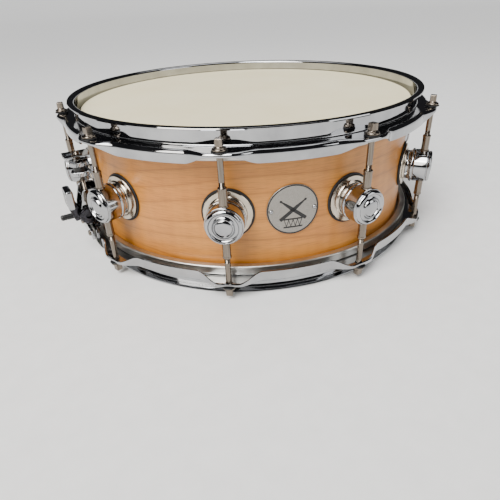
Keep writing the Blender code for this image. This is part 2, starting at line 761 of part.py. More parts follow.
def pivot_pin_mesh():
    """Pin through both cheeks, with a round head outside one of them and a socket in the head."""
    seat = CHEEK_OUTER + CLEARANCE
    top = seat + PIN_HEAD
    shank = rod(PIN_RADIUS, (-CHEEK_OUTER, 0, 0), (seat + PIN_HEAD / 2, 0, 0))
    head = rod(PIN_HEAD_RADIUS, (seat, 0, 0), (top, 0, 0), STEPS_LUG)
    socket = rod(PIN_SOCKET_RADIUS, (top - PIN_SOCKET / 2, 0, 0), (top + PIN_SOCKET, 0, 0), 6)
    return combine("lever_pivot_pin", shank, joins=[head], cuts=[socket])


def knob_mesh(low):
    """Snare tension knob on its screw, waisted between two knurled discs."""
    outline = [
        (0, low),
        (SCREW_RADIUS, low),
        (SCREW_RADIUS, KNOB_LOW),
        (KNOB_RADIUS - 0.0008, KNOB_LOW),
        (KNOB_RADIUS, KNOB_LOW + 0.0008),
        (KNOB_RADIUS, KNOB_LOW + 0.0050),
        (KNOB_RADIUS * 0.7, KNOB_LOW + 0.0060),
        (KNOB_RADIUS * 0.7, KNOB_LOW + KNOB_HEIGHT - 0.0060),
        (KNOB_RADIUS, KNOB_LOW + KNOB_HEIGHT - 0.0050),
        (KNOB_RADIUS, KNOB_LOW + KNOB_HEIGHT),
        (SCREW_RADIUS, KNOB_LOW + KNOB_HEIGHT),
        (SCREW_RADIUS, STRAINER_TOP + 0.0020),
        (0, STRAINER_TOP + 0.0020),
    ]
    outline = [(radius, height - KNOB_LOW) for radius, height in outline]
    return finish_mesh("snare_tension_knob", turned(outline, STEPS_SMALL, False))


def build_strainer(chrome, dark):
    """Throw-off on the -X side. Its pieces are placed under one empty that faces -X."""
    frame = bpy.data.objects.new("strainer_frame", None)
    bpy.context.scene.collection.objects.link(frame)
    frame.rotation_euler = (0, 0, math.radians(-90))
    pivot = SHELL_RADIUS + PIVOT_OUT
    slide = (SHELL_RADIUS + SCREW_OUT, JAW_LOW)
    add_object("strainer_base", strainer_base_mesh(), chrome, parent=frame)
    at_slide = (0, -slide[0], slide[1])
    add_object("strainer_carriage", carriage_mesh(slide), chrome, at_slide, parent=frame)
    add_object("strainer_clamp", clamp_mesh("strainer_clamp", slide), chrome, at_slide, parent=frame)
    at_pivot = (0, -pivot, PIVOT_HEIGHT)
    add_object("strainer_lever", lever_mesh(), chrome, at_pivot, parent=frame)
    add_object("lever_pivot_pin", pivot_pin_mesh(), dark, at_pivot, parent=frame)
    knob = knob_mesh(BOSS_LOW + 0.001)
    add_object("snare_tension_knob", knob, dark, (0, -slide[0], KNOB_LOW), parent=frame)


def build_butt(chrome):
    """Butt plate and its clamp on the +X side."""
    plate = block((BACK_FACE, PLATE_FRONT), (BRIDGE_LOW - 0.001, butt_top()), JAW_HALF_WIDTH * 0.8)
    outline = [
        (PLATE_FRONT - 0.001, BRIDGE_LOW),
        (JAW_FRONT - 0.0005, BRIDGE_LOW),
        (JAW_FRONT - 0.0005, JAW_TOP - 0.0005),
        (JAW_FRONT - 0.0050, JAW_TOP + 0.009),
        (PLATE_FRONT - 0.001, butt_top() - 0.004),
    ]
    body = slab(outline, -JAW_HALF_WIDTH * 0.7, JAW_HALF_WIDTH * 0.7)
    jaw = block((JAW_BACK, JAW_FRONT), (JAW_LOW, JAW_TOP), JAW_HALF_WIDTH)
    mesh = combine("butt_plate", plate, joins=[body, jaw])
    add_object("butt_plate", mesh, chrome, angle=90.0)
    add_object("butt_clamp", clamp_mesh("butt_clamp", (0.0, 0.0)), chrome, angle=90.0)


def build_drum():
    maple = principled("satin_maple", (0.58, 0.29, 0.10), 0.0, 0.42)
    film = principled("coated_film", (0.72, 0.67, 0.54), 0.0, 0.75)
    clear_film = principled("clear_film", (0.80, 0.80, 0.78), 0.0, 0.25)
    channel = principled("aluminium_channel", (0.62, 0.61, 0.58), 1.0, 0.35)
    chrome = principled("chrome_plate", (0.62, 0.62, 0.63), 1.0, 0.08)
    rod_steel = principled("nickel_rod", (0.40, 0.37, 0.34), 1.0, 0.25)
    rubber = principled("black_rubber", (0.02, 0.02, 0.02), 0.0, 0.7)
    dark = principled("black_nickel", (0.08, 0.08, 0.08), 1.0, 0.25)
    wire = principled("snare_wire_steel", (0.55, 0.55, 0.55), 1.0, 0.2)
    plastic = principled("strap_plastic", (0.70, 0.70, 0.68), 0.0, 0.4)
    badge = principled("badge_metal", (0.30, 0.29, 0.27), 1.0, 0.35)
    build_shell(maple)
    build_head("batter_head", TOP_EDGE, 1, film)
    build_head("snare_side_head", BOTTOM_EDGE, -1, clear_film)
    build_flesh_hoop("batter_flesh_hoop", TOP_EDGE, 1, channel)
    build_flesh_hoop("snare_side_flesh_hoop", BOTTOM_EDGE, -1, channel)
    build_hoop("batter_hoop", TOP_EDGE, 1, chrome, gates=False)
    build_hoop("snare_side_hoop", BOTTOM_EDGE, -1, chrome, gates=True)
    build_hardware(chrome, rubber, rod_steel)
    build_badge(badge)
    build_vent(chrome)
    build_wires(wire)
    build_straps(plastic)
    build_strainer(chrome, dark)
    build_butt(chrome)


clear_scene()
build_drum()
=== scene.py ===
"""Looks of the 14 by 5 inch maple snare drum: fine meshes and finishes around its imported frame.

Metres, +Z up. The drum stands on its snare-side rim at Z = 0, the strainer faces -X and the butt
plate +X. Angles around the drum are counted from -Y towards +X, and one lug stands at -Y.
"""

import json
import math

import bmesh
import bpy
from mathutils import Matrix, Vector


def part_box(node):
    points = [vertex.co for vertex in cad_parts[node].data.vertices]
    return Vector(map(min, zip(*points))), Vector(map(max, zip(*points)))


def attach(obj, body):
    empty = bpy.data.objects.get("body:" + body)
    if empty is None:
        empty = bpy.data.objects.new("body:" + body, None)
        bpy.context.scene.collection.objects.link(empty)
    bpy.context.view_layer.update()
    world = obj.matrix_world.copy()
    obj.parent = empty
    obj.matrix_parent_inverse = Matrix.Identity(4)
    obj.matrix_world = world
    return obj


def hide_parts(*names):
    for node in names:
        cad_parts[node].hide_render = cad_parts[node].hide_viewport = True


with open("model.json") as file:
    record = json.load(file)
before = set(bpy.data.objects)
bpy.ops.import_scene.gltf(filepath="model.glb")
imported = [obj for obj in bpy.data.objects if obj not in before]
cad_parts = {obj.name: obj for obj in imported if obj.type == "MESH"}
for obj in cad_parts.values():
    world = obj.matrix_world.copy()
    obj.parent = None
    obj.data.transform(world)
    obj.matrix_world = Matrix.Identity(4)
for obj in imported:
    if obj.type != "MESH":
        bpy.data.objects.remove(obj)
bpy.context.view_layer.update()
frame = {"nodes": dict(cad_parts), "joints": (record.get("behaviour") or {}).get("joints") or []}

MM = 0.001

# Places read from the frame
SHELL_LOW, SHELL_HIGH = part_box("shell")
SHELL_RADIUS = SHELL_HIGH.y
BOTTOM_EDGE = SHELL_LOW.z
TOP_EDGE = SHELL_HIGH.z
MIDDLE = (BOTTOM_EDGE + TOP_EDGE) / 2
HOOP_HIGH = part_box("batter_hoop")[1]
RIM_RISE = HOOP_HIGH.z - TOP_EDGE
JOINTS = {joint["name"]: joint for joint in frame["joints"]}
ROD_SEAT = Vector(JOINTS["batter_rod_01_turn"]["pos_m"])
ROD_CIRCLE = -ROD_SEAT.y
LUG_COUNT = sum(name.startswith("turret_lug") for name in frame["nodes"])
LUG_PITCH = 360 / LUG_COUNT

# Sizes of the real pieces that the plain frame leaves out
SHELL_WALL = 7.0 * MM
EDGE_CROWN = 1.5 * MM
STEEL = 2.3 * MM
HOOP_INNER = SHELL_RADIUS + 3.6 * MM
RIM_OUTER = HOOP_INNER + 7.6 * MM
SKIRT_OUTER = HOOP_INNER + 14.2 * MM
FLANGE_MIDDLE = -4.35 * MM
SKIRT_END = -14.5 * MM
EAR_OUTER = HOOP_HIGH.y
EAR_HALF_WIDTH = 8.5 * MM
EAR_BLEND = 22.0 * MM
EAR_LIP = 1.4 * MM
RIM_BEND = 1.7 * MM
FOOT_BEND = 2.4 * MM
LIP_BEND = 1.25 * MM
SKIRT_BEND = 2.9 * MM
ROD_HOLE = 3.3 * MM
GATE_HALF_WIDTH = 29.0 * MM
NOTCH_OUT = (191.8 * MM, 215.0 * MM)
NOTCH_HEIGHT = (-5.0 * MM, 20.0 * MM)
FLESH_HOOP_DROP = 5.8 * MM
LUG_SCREW_SPACING = 18.0 * MM

# The paper floor, in metres: half its size, the flat part, the sweep's length and its rise
PAPER_HALF, PAPER_FLAT, PAPER_SWEEP, PAPER_RISE = 16.0, 7.0, 9.0, 1.2

# Strainer and butt plate, in mm: distances from the drum's axis, and heights
PIVOT_OUT, PIVOT_HEIGHT = 198.0, 49.0
KNOB_OUT = 193.0
JAW_OUT = (193.0, 196.2)
CLAMP_OUT = (197.8, 200.8)
JAW_HEIGHT = (24.8, 34.8)
JAW_HALF_WIDTH = 25.0
CLAMP_SCREW_HEIGHT, CLAMP_SCREW_ACROSS = 29.8, 17.0


# Mesh work

def around(radius, angle, height):
    """A point at a radius and an angle around the drum, counted from -Y towards +X."""
    turn = math.radians(angle)
    return Vector((radius * math.sin(turn), -radius * math.cos(turn), height))


def ease(value):
    value = min(max(value, 0.0), 1.0)
    return value * value * (3 - 2 * value)


def bend_line(corners, radii, steps=6):
    """Points along a path whose inner corners are arcs with their own radii."""
    corners = [Vector(corner) for corner in corners]
    line = [corners[0]]
    for before, corner, after, radius in zip(corners, corners[1:], corners[2:], radii):
        back = (before - corner).normalized()
        on = (after - corner).normalized()
        half = back.angle(on) / 2
        reach = radius / math.tan(half)
        centre = corner + (back + on).normalized() * (radius / math.sin(half))
        start = corner + back * reach - centre
        end = corner + on * reach - centre
        for step in range(steps + 1):
            line.append(centre + start.slerp(end, step / steps).normalized() * radius)
    line.append(corners[-1])
    return line


def thicken(line, thickness, cap_steps=4):
    """Closed outline of a strip around a centre line, with round ends."""
    half = thickness / 2
    tangents = []
    for index in range(len(line)):
        before = line[max(index - 1, 0)]
        after = line[min(index + 1, len(line) - 1)]
        tangents.append((after - before).normalized())
    left, right = [], []
    for point, along in zip(line, tangents):
        normal = Vector((-along.y, along.x))
        left.append(point + normal * half)
        right.append(point - normal * half)
    outline = list(left)
    for sign, point, along in ((1, line[-1], tangents[-1]), (-1, line[0], -tangents[0])):
        normal = Vector((-along.y, along.x))
        for step in range(1, cap_steps):
            turn = math.pi * step / cap_steps
            outline.append(point + normal * half * math.cos(turn) + along * half * math.sin(turn))
        if sign == 1:
            outline += list(reversed(right))
    return outline


def skin(loops, closed_loops=True, closed_ends=False):
    """A surface through loops of points. Each loop closes on itself, and the last meets the first."""
    bm = bmesh.new()
    rings = [[bm.verts.new(point) for point in loop] for loop in loops]
    pairs = list(zip(rings, rings[1:]))
    if closed_loops:
        pairs.append((rings[-1], rings[0]))
    for ring, following in pairs:
        for index in range(len(ring)):
            after = (index + 1) % len(ring)
            bm.faces.new((ring[index], following[index], following[after], ring[after]))
    if closed_ends:
        bm.faces.new(rings[0])
        bm.faces.new(rings[-1])
    return bm


def turned(outline, steps, ring=False, shape=None):
    """Turn an outline of (radius, height) around Z. shape(index, angle, radius) may alter a radius."""
    bm = bmesh.new()
    columns = []
    poles = {}
    for step in range(steps):
        angle = 2 * math.pi * step / steps
        column = []
        for index, (radius, height) in enumerate(outline):
            if radius == 0:
                if index not in poles:
                    poles[index] = bm.verts.new((0, 0, height))
                column.append(poles[index])
                continue
            reach = shape(index, angle, radius) if shape else radius
            column.append(bm.verts.new((reach * math.sin(angle), -reach * math.cos(angle), height)))
        columns.append(column)
    count = len(outline)
    for column, following in zip(columns, columns[1:] + columns[:1]):
        for index in range(count if ring else count - 1):
            after = (index + 1) % count
            corners = [column[index], following[index], following[after], column[after]]
            corners = list(dict.fromkeys(corners))
            if len(corners) > 2:
                bm.faces.new(corners)
    return bm


def face_outwards(bm):
    """Lay a piece turned around Z so that its axis points out of the drum, along -Y."""
    bmesh.ops.rotate(bm, verts=bm.verts[:], matrix=Matrix.Rotation(math.radians(90), 3, "X"))
    return bm


def bend_to_shell(bm, depth):
    """Let what lies up to a depth from the shell follow the shell's curve."""
    for corner in bm.verts:
        if -corner.co.y <= depth:
            corner.co.y += SHELL_RADIUS - math.sqrt(SHELL_RADIUS**2 - corner.co.x**2)
    return bm


def soften(bm, width, segments=3, angle=40):
    """Round every edge sharper than an angle."""
    bmesh.ops.recalc_face_normals(bm, faces=bm.faces[:])
    sharp = [
        edge
        for edge in bm.edges
        if len(edge.link_faces) == 2 and edge.calc_face_angle(0) > math.radians(angle)
    ]
    bmesh.ops.bevel(
        bm,
        geom=sharp,
        offset=width,
        segments=segments,
        profile=0.5,
        affect="EDGES",
        clamp_overlap=True,
    )
    return bm


def slab(outline, half_width, edge, centre=0.0):
    """Extrude an outline of (distance out, height) pairs sideways and round its edges."""
    bm = bmesh.new()
    corners = [bm.verts.new((centre - half_width, -out, height)) for out, height in outline]
    face = bm.faces.new(corners)
    moved = bmesh.ops.extrude_face_region(bm, geom=[face])["geom"]
    moved = [item for item in moved if isinstance(item, bmesh.types.BMVert)]
    bmesh.ops.translate(bm, verts=moved, vec=(2 * half_width, 0, 0))
    return soften(bm, edge)


def mm(pairs):
    """Pairs of numbers in mm, turned to metres."""
    return [(a * MM, b * MM) for a, b in pairs]


def round_corners(points, radius, steps=5):
    """A closed outline in mm whose corners are arcs."""
    loop = [Vector(point) for point in points]
    middle = (loop[0] + loop[-1]) / 2
    path = bend_line([middle] + loop + [middle], [radius] * len(loop), steps)
    return mm(path[:-1])


def oblong(out, up):
    """Four corners between two distances out and two heights."""
    return [(out[0], up[0]), (out[1], up[0]), (out[1], up[1]), (out[0], up[1])]


def bar(out, up, half_width, corner, edge, steps=3):
    """A rounded bar, in mm: between two distances out, two heights, and a half width to each side."""
    return slab(round_corners(oblong(out, up), corner, steps), half_width * MM, edge * MM)


def brick(out, height, half_width, edge, centre=0.0):
    return slab(oblong(out, height), half_width, edge, centre)


def rod(radius, start, end, steps=32):
    """A plain round bar between two points."""
    start, end = Vector(start), Vector(end)
    run = end - start
    bm = bmesh.new()
    bmesh.ops.create_cone(
        bm, cap_ends=True, segments=steps, radius1=radius, radius2=radius, depth=run.length
    )
    turn = run.to_track_quat("Z", "Y").to_matrix().to_4x4()
    bmesh.ops.transform(bm, matrix=Matrix.Translation((start + end) / 2) @ turn, verts=bm.verts[:])
    return bm


def gather(*parts):
    """Put several bodies into one bmesh."""
    whole = bmesh.new()
    for part in parts:
        spare = bpy.data.meshes.new("spare")
        part.to_mesh(spare)
        part.free()
        whole.from_mesh(spare)
        bpy.data.meshes.remove(spare)
    return whole


def moved(bm, offset=(0, 0, 0), turn=0.0, axis="Z"):
    bmesh.ops.rotate(bm, verts=bm.verts[:], matrix=Matrix.Rotation(math.radians(turn), 3, axis))
    bmesh.ops.translate(bm, verts=bm.verts[:], vec=offset)
    return bm


def to_mesh(name, bm, sharp_angle=32):
    bmesh.ops.recalc_face_normals(bm, faces=bm.faces[:])
    mesh = bpy.data.meshes.new(name)
    bm.to_mesh(mesh)
    bm.free()
    mesh.shade_smooth()
    mesh.set_sharp_from_angle(angle=math.radians(sharp_angle))
    return mesh


def cut(name, bm, *tools):
    """Cut tools from a body, and return the mesh that is left."""
    body = bpy.data.objects.new(name, to_mesh(name, bm))
    tool = bpy.data.objects.new(name + "_tool", to_mesh(name + "_tool", gather(*tools)))
    for thing in (body, tool):
        bpy.context.scene.collection.objects.link(thing)
    step = body.modifiers.new("Boolean", "BOOLEAN")
    step.operation = "DIFFERENCE"
    step.solver = "EXACT"
    step.object = tool
    shape = body.evaluated_get(bpy.context.evaluated_depsgraph_get())
    mesh = bpy.data.meshes.new_from_object(shape)
    for thing in (body, tool):
        bpy.data.objects.remove(thing, do_unlink=True)
    mesh.name = name
    mesh.shade_smooth()
    mesh.set_sharp_from_angle(angle=math.radians(32))
    return mesh


def bpy_to_bm(mesh):
    """Take a finished mesh back for more work."""
    bm = bmesh.new()
    bm.from_mesh(mesh)
    bpy.data.meshes.remove(mesh)
    return bm


def piece(name, mesh, material, body="drum", at=(0, 0, 0), turn=(0, 0, 0), stands_for=()):
    """Add a piece to the drum, riding on one of its bodies."""
    thing = bpy.data.objects.new(name, mesh)
    bpy.context.scene.collection.objects.link(thing)
    thing.location = at
    thing.rotation_euler = [math.radians(angle) for angle in turn]
    if not mesh.materials:
        mesh.materials.append(material)
    keep_flats = thing.modifiers.new("Flats", "WEIGHTED_NORMAL")
    keep_flats.keep_sharp = True
    bpy.context.view_layer.update()
    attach(thing, body)
    if stands_for:
        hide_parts(*stands_for)
    return thing


# Finishes

def linear(code):
    """Linear colour of an sRGB hex code."""
    channels = [int(code[index : index + 2], 16) / 255 for index in (1, 3, 5)]
    values = [c / 12.92 if c <= 0.04045 else ((c + 0.055) / 1.055) ** 2.4 for c in channels]
    return (*values, 1.0)


def add(material, kind, inputs=None, **settings):
    """Add one node with its settings, values and links."""
    tree = material.node_tree
    made = tree.nodes.new(kind)
    for name, value in settings.items():
        setattr(made, name, value)
    for socket, value in (inputs or {}).items():
        if isinstance(value, bpy.types.NodeSocket):
            tree.links.new(value, made.inputs[socket])
        else:
            made.inputs[socket].default_value = value
    return made


def ramp(material, factor, stops):
    """A colour ramp through (position, sRGB hex) stops."""
    made = add(material, "ShaderNodeValToRGB", {"Fac": factor})
    points = made.color_ramp.elements
    while len(points) < len(stops):
        points.new(0.5)
    for point, (position, code) in zip(points, stops):
        point.position = position
        point.color = linear(code)
    return made.outputs["Color"]


def surface(name, **values):
    """A material with one Principled shader and its constant values."""
    material = bpy.data.materials.new(name)
    material.use_nodes = True
    shader = material.node_tree.nodes["Principled BSDF"]
    for socket, value in values.items():
        shader.inputs[socket.replace("_", " ")].default_value = value
    return material, shader


def spread(material, scale, **settings):
    """Noise over the object's own coordinates, stretched by a scale for each axis, in 1/metres."""
    place = add(material, "ShaderNodeTexCoord").outputs["Object"]
    stretched = add(
        material, "ShaderNodeMapping", {"Vector": place, "Scale": scale}, vector_type="POINT"
    )
    noise = {"Vector": stretched.outputs["Vector"], "Scale": 1.0, **settings}
    return add(material, "ShaderNodeTexNoise", noise).outputs["Fac"]


def between(material, value, low, high, from_low=0.0, from_high=1.0):
    """Map a value to a range."""
    made = add(
        material,
        "ShaderNodeMapRange",
        {"Value": value, "From Min": from_low, "From Max": from_high, "To Min": low, "To Max": high},
    )
    return made.outputs["Result"]


def relief(material, shader, height, depth, strength=1.0):
    """Bump from a height of 0 to 1 that stands for a depth in metres."""
    made = add(
        material, "ShaderNodeBump", {"Height": height, "Distance": depth, "Strength": strength}
    )
    material.node_tree.links.new(made.outputs["Normal"], shader.inputs["Normal"])


def wire(material, output, shader, socket):
    material.node_tree.links.new(output, shader.inputs[socket])


def chrome_plate(name, waviness):
    """Decorative chrome on polished metal: mirror polished, bluish grey, with faint hand marks. Its grey is
    darker than real chrome, so that the pale floor it mirrors comes out dim: painted shade in its
    reflections.
    """
    material, shader = surface(name, Metallic=1.0, Roughness=0.05)
    smears = spread(material, (38, 38, 38), Detail=4.0, Roughness=0.6)
    # The hand marks vary the tone at random, but both stops are darker than real chrome: painted shade that
    # stands in for a darker room in the reflections
    tint = ramp(material, smears, [(0.3, "#9fa0a2"), (0.7, "#b6b7b9")])
    wire(material, tint, shader, "Base Color")
    wire(material, between(material, smears, 0.03, 0.10, 0.35, 0.75), shader, "Roughness")
    # Stamping and polishing leave swells some 15 mm across, which bend what the plate mirrors
    swells = spread(material, (65, 65, 65), Detail=1.0)
    relief(material, shader, swells, waviness)
    return material


def satin_nickel(name):
    """Nickel-plated steel, lightly drawn: warm grey with a soft streak of light along its length. The grey is
    darker than real nickel: painted shade that stands in for the dark surroundings it mirrors.
    """
    material, shader = surface(name, Metallic=1.0, Roughness=0.22)
    drawn = spread(material, (900, 900, 40), Detail=2.0)
    # The drawn lines vary the tone at random, but both stops are darker than real nickel: painted shade for
    # the dark surroundings these rods, tubes and screws mirror
    wire(material, ramp(material, drawn, [(0.3, "#6e665c"), (0.7, "#8c8277")]), shader, "Base Color")
    wire(material, between(material, drawn, 0.16, 0.30), shader, "Roughness")
    relief(material, shader, drawn, 0.01 * MM)
    return material


def brushed_escutcheon(name):
    """Nickel face turned on a lathe: champagne grey with fine rings that spread the light."""
    material, shader = surface(name, Metallic=1.0, Roughness=0.2)
    tone = spread(material, (120, 120, 120), Detail=3.0)
    wire(material, ramp(material, tone, [(0.3, "#b9ad9c"), (0.7, "#cfc5b6")]), shader, "Base Color")
    wire(material, between(material, tone, 0.14, 0.26), shader, "Roughness")
    return material


def black_nickel(name):
    """Dark plated steel, nearly black, with a bright edge where it turns to the light."""
    material, shader = surface(name, Metallic=1.0, Roughness=0.18)
    wear = spread(material, (400, 400, 400), Detail=3.0)
    wire(material, ramp(material, wear, [(0.35, "#2b2b2c"), (0.7, "#45444a")]), shader, "Base Color")
    wire(material, between(material, wear, 0.12, 0.28), shader, "Roughness")
    return material


def moulded_rubber(name):
    """Black gasket rubber: matte, slightly grey on its rubbed high spots."""
    material, shader = surface(name, Roughness=0.62)
    grit = spread(material, (1500, 1500, 1500), Detail=2.0)
    wire(material, ramp(material, grit, [(0.3, "#0c0c0d"), (0.7, "#1d1d1e")]), shader, "Base Color")
    relief(material, shader, grit, 0.03 * MM)
    return material


def black_nylon(name):
    """Moulded nylon washer: black with a faint waxy sheen."""
    material, shader = surface(name, Roughness=0.38)
    grit = spread(material, (2200, 2200, 2200), Detail=1.0)
    wire(material, ramp(material, grit, [(0.3, "#0b0b0c"), (0.7, "#161617")]), shader, "Base Color")
    relief(material, shader, grit, 0.01 * MM)
    return material


def satin_maple(name):
    """Hard maple veneer under satin lacquer: honey ground, fine growth lines round the shell,
    short darker fibres, and a faint curl across the grain that catches the light."""
    material, shader = surface(name, Roughness=0.42, Coat_Weight=0.25, Coat_Roughness=0.28)
    place = add(material, "ShaderNodeTexCoord").outputs["Object"]
    # Wide swings of the growth lines, some 250 mm long and 70 mm high
    swing = spread(material, (4.0, 4.0, 14.0), Detail=1.5, Roughness=0.4)
    height = add(material, "ShaderNodeSeparateXYZ", {"Vector": place}).outputs["Z"]
    # A growth line every 19 mm of height, carried up and down by the swings
    lines = add(material, "ShaderNodeMath", {0: height, 1: 52.0}, operation="MULTIPLY")
    sway = add(material, "ShaderNodeMath", {0: swing, 1: 4.0}, operation="MULTIPLY")
    count = add(material, "ShaderNodeMath", {0: lines.outputs[0], 1: sway.outputs[0]}, operation="ADD")
    band = add(material, "ShaderNodeMath", {0: count.outputs[0]}, operation="FRACT").outputs[0]
    ground = ramp(
        material,
        band,
        [
            (0.0, "#b3752e"), (0.05, "#c58334"), (0.2, "#cc8838"), (0.8, "#d08d3b"), (0.95, "#c68435"),
            (1.0, "#b3752e"),
        ],
    )
    # Fibres under 1 mm high and some 20 mm long
    fibre = spread(material, (55, 55, 1300), Detail=3.0, Roughness=0.55)
    streaks = ramp(material, fibre, [(0.25, "#c9c1b6"), (0.55, "#ffffff"), (0.8, "#f3ead9")])
    # Patches of tone from one part of the veneer to another
    patch = spread(material, (9, 9, 14), Detail=2.0)
    patches = ramp(material, patch, [(0.3, "#efdfca"), (0.7, "#ffffff")])
    # Curl: bands 6 to 9 mm wide that stand across the grain
    curl = spread(material, (130, 130, 12), Detail=1.0)
    curls = ramp(material, curl, [(0.35, "#ece2d2"), (0.65, "#ffffff")])
    tone = ground
    for factor, layer in ((0.8, streaks), (0.7, patches), (0.35, curls)):
        inputs = {"Factor": factor, 6: tone, 7: layer}
        mixed = add(material, "ShaderNodeMix", inputs, data_type="RGBA", blend_type="MULTIPLY")
        tone = mixed.outputs[2]
    wire(material, tone, shader, "Base Color")
    wire(material, between(material, fibre, 0.36, 0.50), shader, "Roughness")
    relief(material, shader, fibre, 0.025 * MM)
    return material


def bare_plies(name):
    """Edge and inside of the shell: unlacquered maple plies, paler and drier than the outside."""
    material, shader = surface(name, Roughness=0.6)
    fibre = spread(material, (40, 40, 900), Detail=3.0)
    wire(material, ramp(material, fibre, [(0.3, "#c79c69"), (0.7, "#dfba88")]), shader, "Base Color")
    relief(material, shader, fibre, 0.04 * MM)
    return material


def coated_film(name):
    """Polyester film sprayed with a white coating: matte, warm white, with a sandy tooth."""
    material, shader = surface(name, Roughness=0.72)
    shader.inputs["Sheen Weight"].default_value = 0.06
    clouds = spread(material, (14, 14, 14), Detail=4.0)
    wire(material, ramp(material, clouds, [(0.3, "#efe3ba"), (0.7, "#f4eac6")]), shader, "Base Color")
    # Real spray grains are 0.2 mm across, and are drawn at 0.7 mm so that they show
    tooth = spread(material, (1400, 1400, 1400), Detail=2.0, Roughness=0.7)
    wire(material, between(material, tooth, 0.62, 0.82), shader, "Roughness")
    relief(material, shader, tooth, 0.06 * MM)
    return material


def clear_film(name):
    """Thin hazy polyester film: nearly clear, with a soft gloss."""
    material, shader = surface(name, Roughness=0.22, IOR=1.57, Alpha=0.35)
    haze = spread(material, (25, 25, 25), Detail=3.0)
    wire(material, ramp(material, haze, [(0.3, "#d9dad6"), (0.7, "#e8e8e4")]), shader, "Base Color")
    wire(material, between(material, haze, 0.18, 0.30), shader, "Roughness")
    return material


def rolled_aluminium(name):
    """Rolled aluminium channel: soft silver with fine marks along its length."""
    material, shader = surface(name, Metallic=1.0, Roughness=0.34)
    marks = spread(material, (60, 60, 1800), Detail=2.0)
    wire(material, ramp(material, marks, [(0.3, "#bab8b2"), (0.7, "#d2d0ca")]), shader, "Base Color")
    wire(material, between(material, marks, 0.28, 0.42), shader, "Roughness")
    relief(material, shader, marks, 0.02 * MM)
    return material


def badge_metal(name):
    """Etched pewter-grey badge: a grainy satin ground between polished lines."""
    material, shader = surface(name, Metallic=1.0, Roughness=0.42)
    grain = spread(material, (1600, 1600, 1600), Detail=2.0)
    wire(material, ramp(material, grain, [(0.3, "#8d8983"), (0.7, "#a9a59e")]), shader, "Base Color")
    wire(material, between(material, grain, 0.36, 0.50), shader, "Roughness")
    relief(material, shader, grain, 0.03 * MM)
    return material


def black_enamel(name):
    """Black enamel fill: glossy, with the slightest orange peel."""
    material, shader = surface(name, Roughness=0.2)
    peel = spread(material, (700, 700, 700), Detail=1.0)
    wire(material, ramp(material, peel, [(0.3, "#08080a"), (0.7, "#111113")]), shader, "Base Color")
    relief(material, shader, peel, 0.02 * MM)
    return material


def strap_film(name):
    """Milky polyester strap: cloudy and softly shiny, and a little light comes through it."""
    material, shader = surface(name, Roughness=0.32, IOR=1.57)
    shader.inputs["Transmission Weight"].default_value = 0.25
    cloud = spread(material, (90, 90, 90), Detail=3.0)
    wire(material, ramp(material, cloud, [(0.3, "#c9c8c2"), (0.7, "#dddcd6")]), shader, "Base Color")
    wire(material, between(material, cloud, 0.26, 0.40), shader, "Roughness")
    return material


def spring_steel(name):
    """Bright drawn spring wire: silver with a satin sparkle."""
    material, shader = surface(name, Metallic=1.0, Roughness=0.2)
    drawn = spread(material, (500, 500, 500), Detail=2.0)
    wire(material, ramp(material, drawn, [(0.3, "#b4b5b6"), (0.7, "#d0d1d2")]), shader, "Base Color")
    wire(material, between(material, drawn, 0.14, 0.28), shader, "Roughness")
    return material


def studio_paper(name):
    """Pale seamless paper for the floor."""
    material, shader = surface(name, Roughness=0.85)
    pulp = spread(material, (60, 60, 60), Detail=3.0)
    wire(material, ramp(material, pulp, [(0.3, "#f1f1f0"), (0.7, "#f6f6f5")]), shader, "Base Color")
    return material


HOOP_CHROME = chrome_plate("chrome_on_stamped_steel", 0.10 * MM)
LUG_CHROME = chrome_plate("chrome_on_turned_brass", 0.015 * MM)
NICKEL = satin_nickel("satin_nickel_plate")
ESCUTCHEON = brushed_escutcheon("turned_nickel_face")
DARK_PLATE = black_nickel("black_nickel_plate")
RUBBER = moulded_rubber("moulded_black_rubber")
NYLON = black_nylon("black_nylon")
MAPLE = satin_maple("satin_lacquered_maple")
PLIES = bare_plies("bare_maple_plies")
COATED = coated_film("sprayed_coated_film")
CLEAR = clear_film("clear_snare_side_film")
CHANNEL = rolled_aluminium("rolled_aluminium_channel")
BADGE = badge_metal("etched_pewter")
ENAMEL = black_enamel("black_enamel_fill")
STRAP = strap_film("milky_strap_film")
SPRING = spring_steel("drawn_spring_steel")


# Camera, light and floor

def make_camera():
    """Looking down on the batter head, a little to the right of the strainer."""
    data = bpy.data.cameras.new("camera")
    data.sensor_width = 36.0
    data.lens = 31.1
    data.clip_start = 0.01
    data.shift_y = -0.0015
    camera = bpy.data.objects.new("camera", data)
    bpy.context.scene.collection.objects.link(camera)
    forward = Vector((0.4269, 0.7486, -0.5074)).normalized()
    right = Vector((0.8571, -0.5138, -0.0371))
    right = (right - forward * right.dot(forward)).normalized()
    up = right.cross(forward)
    turn = Matrix((right, up, -forward)).transposed().to_4x4()
    camera.matrix_world = Matrix.Translation((-0.2547, -0.4423, 0.2351)) @ turn
    bpy.context.scene.camera = camera


def soft_light(name, at, aim, size, power, tint="#ffffff"):
    data = bpy.data.lights.new(name, "AREA")
    data.shape = "RECTANGLE"
    data.size, data.size_y = size
    data.energy = power
    data.color = linear(tint)[:3]
    lamp = bpy.data.objects.new(name, data)
    bpy.context.scene.collection.objects.link(lamp)
    lamp.location = at
    lamp.rotation_euler = (Vector(aim) - Vector(at)).to_track_quat("-Z", "Y").to_euler()


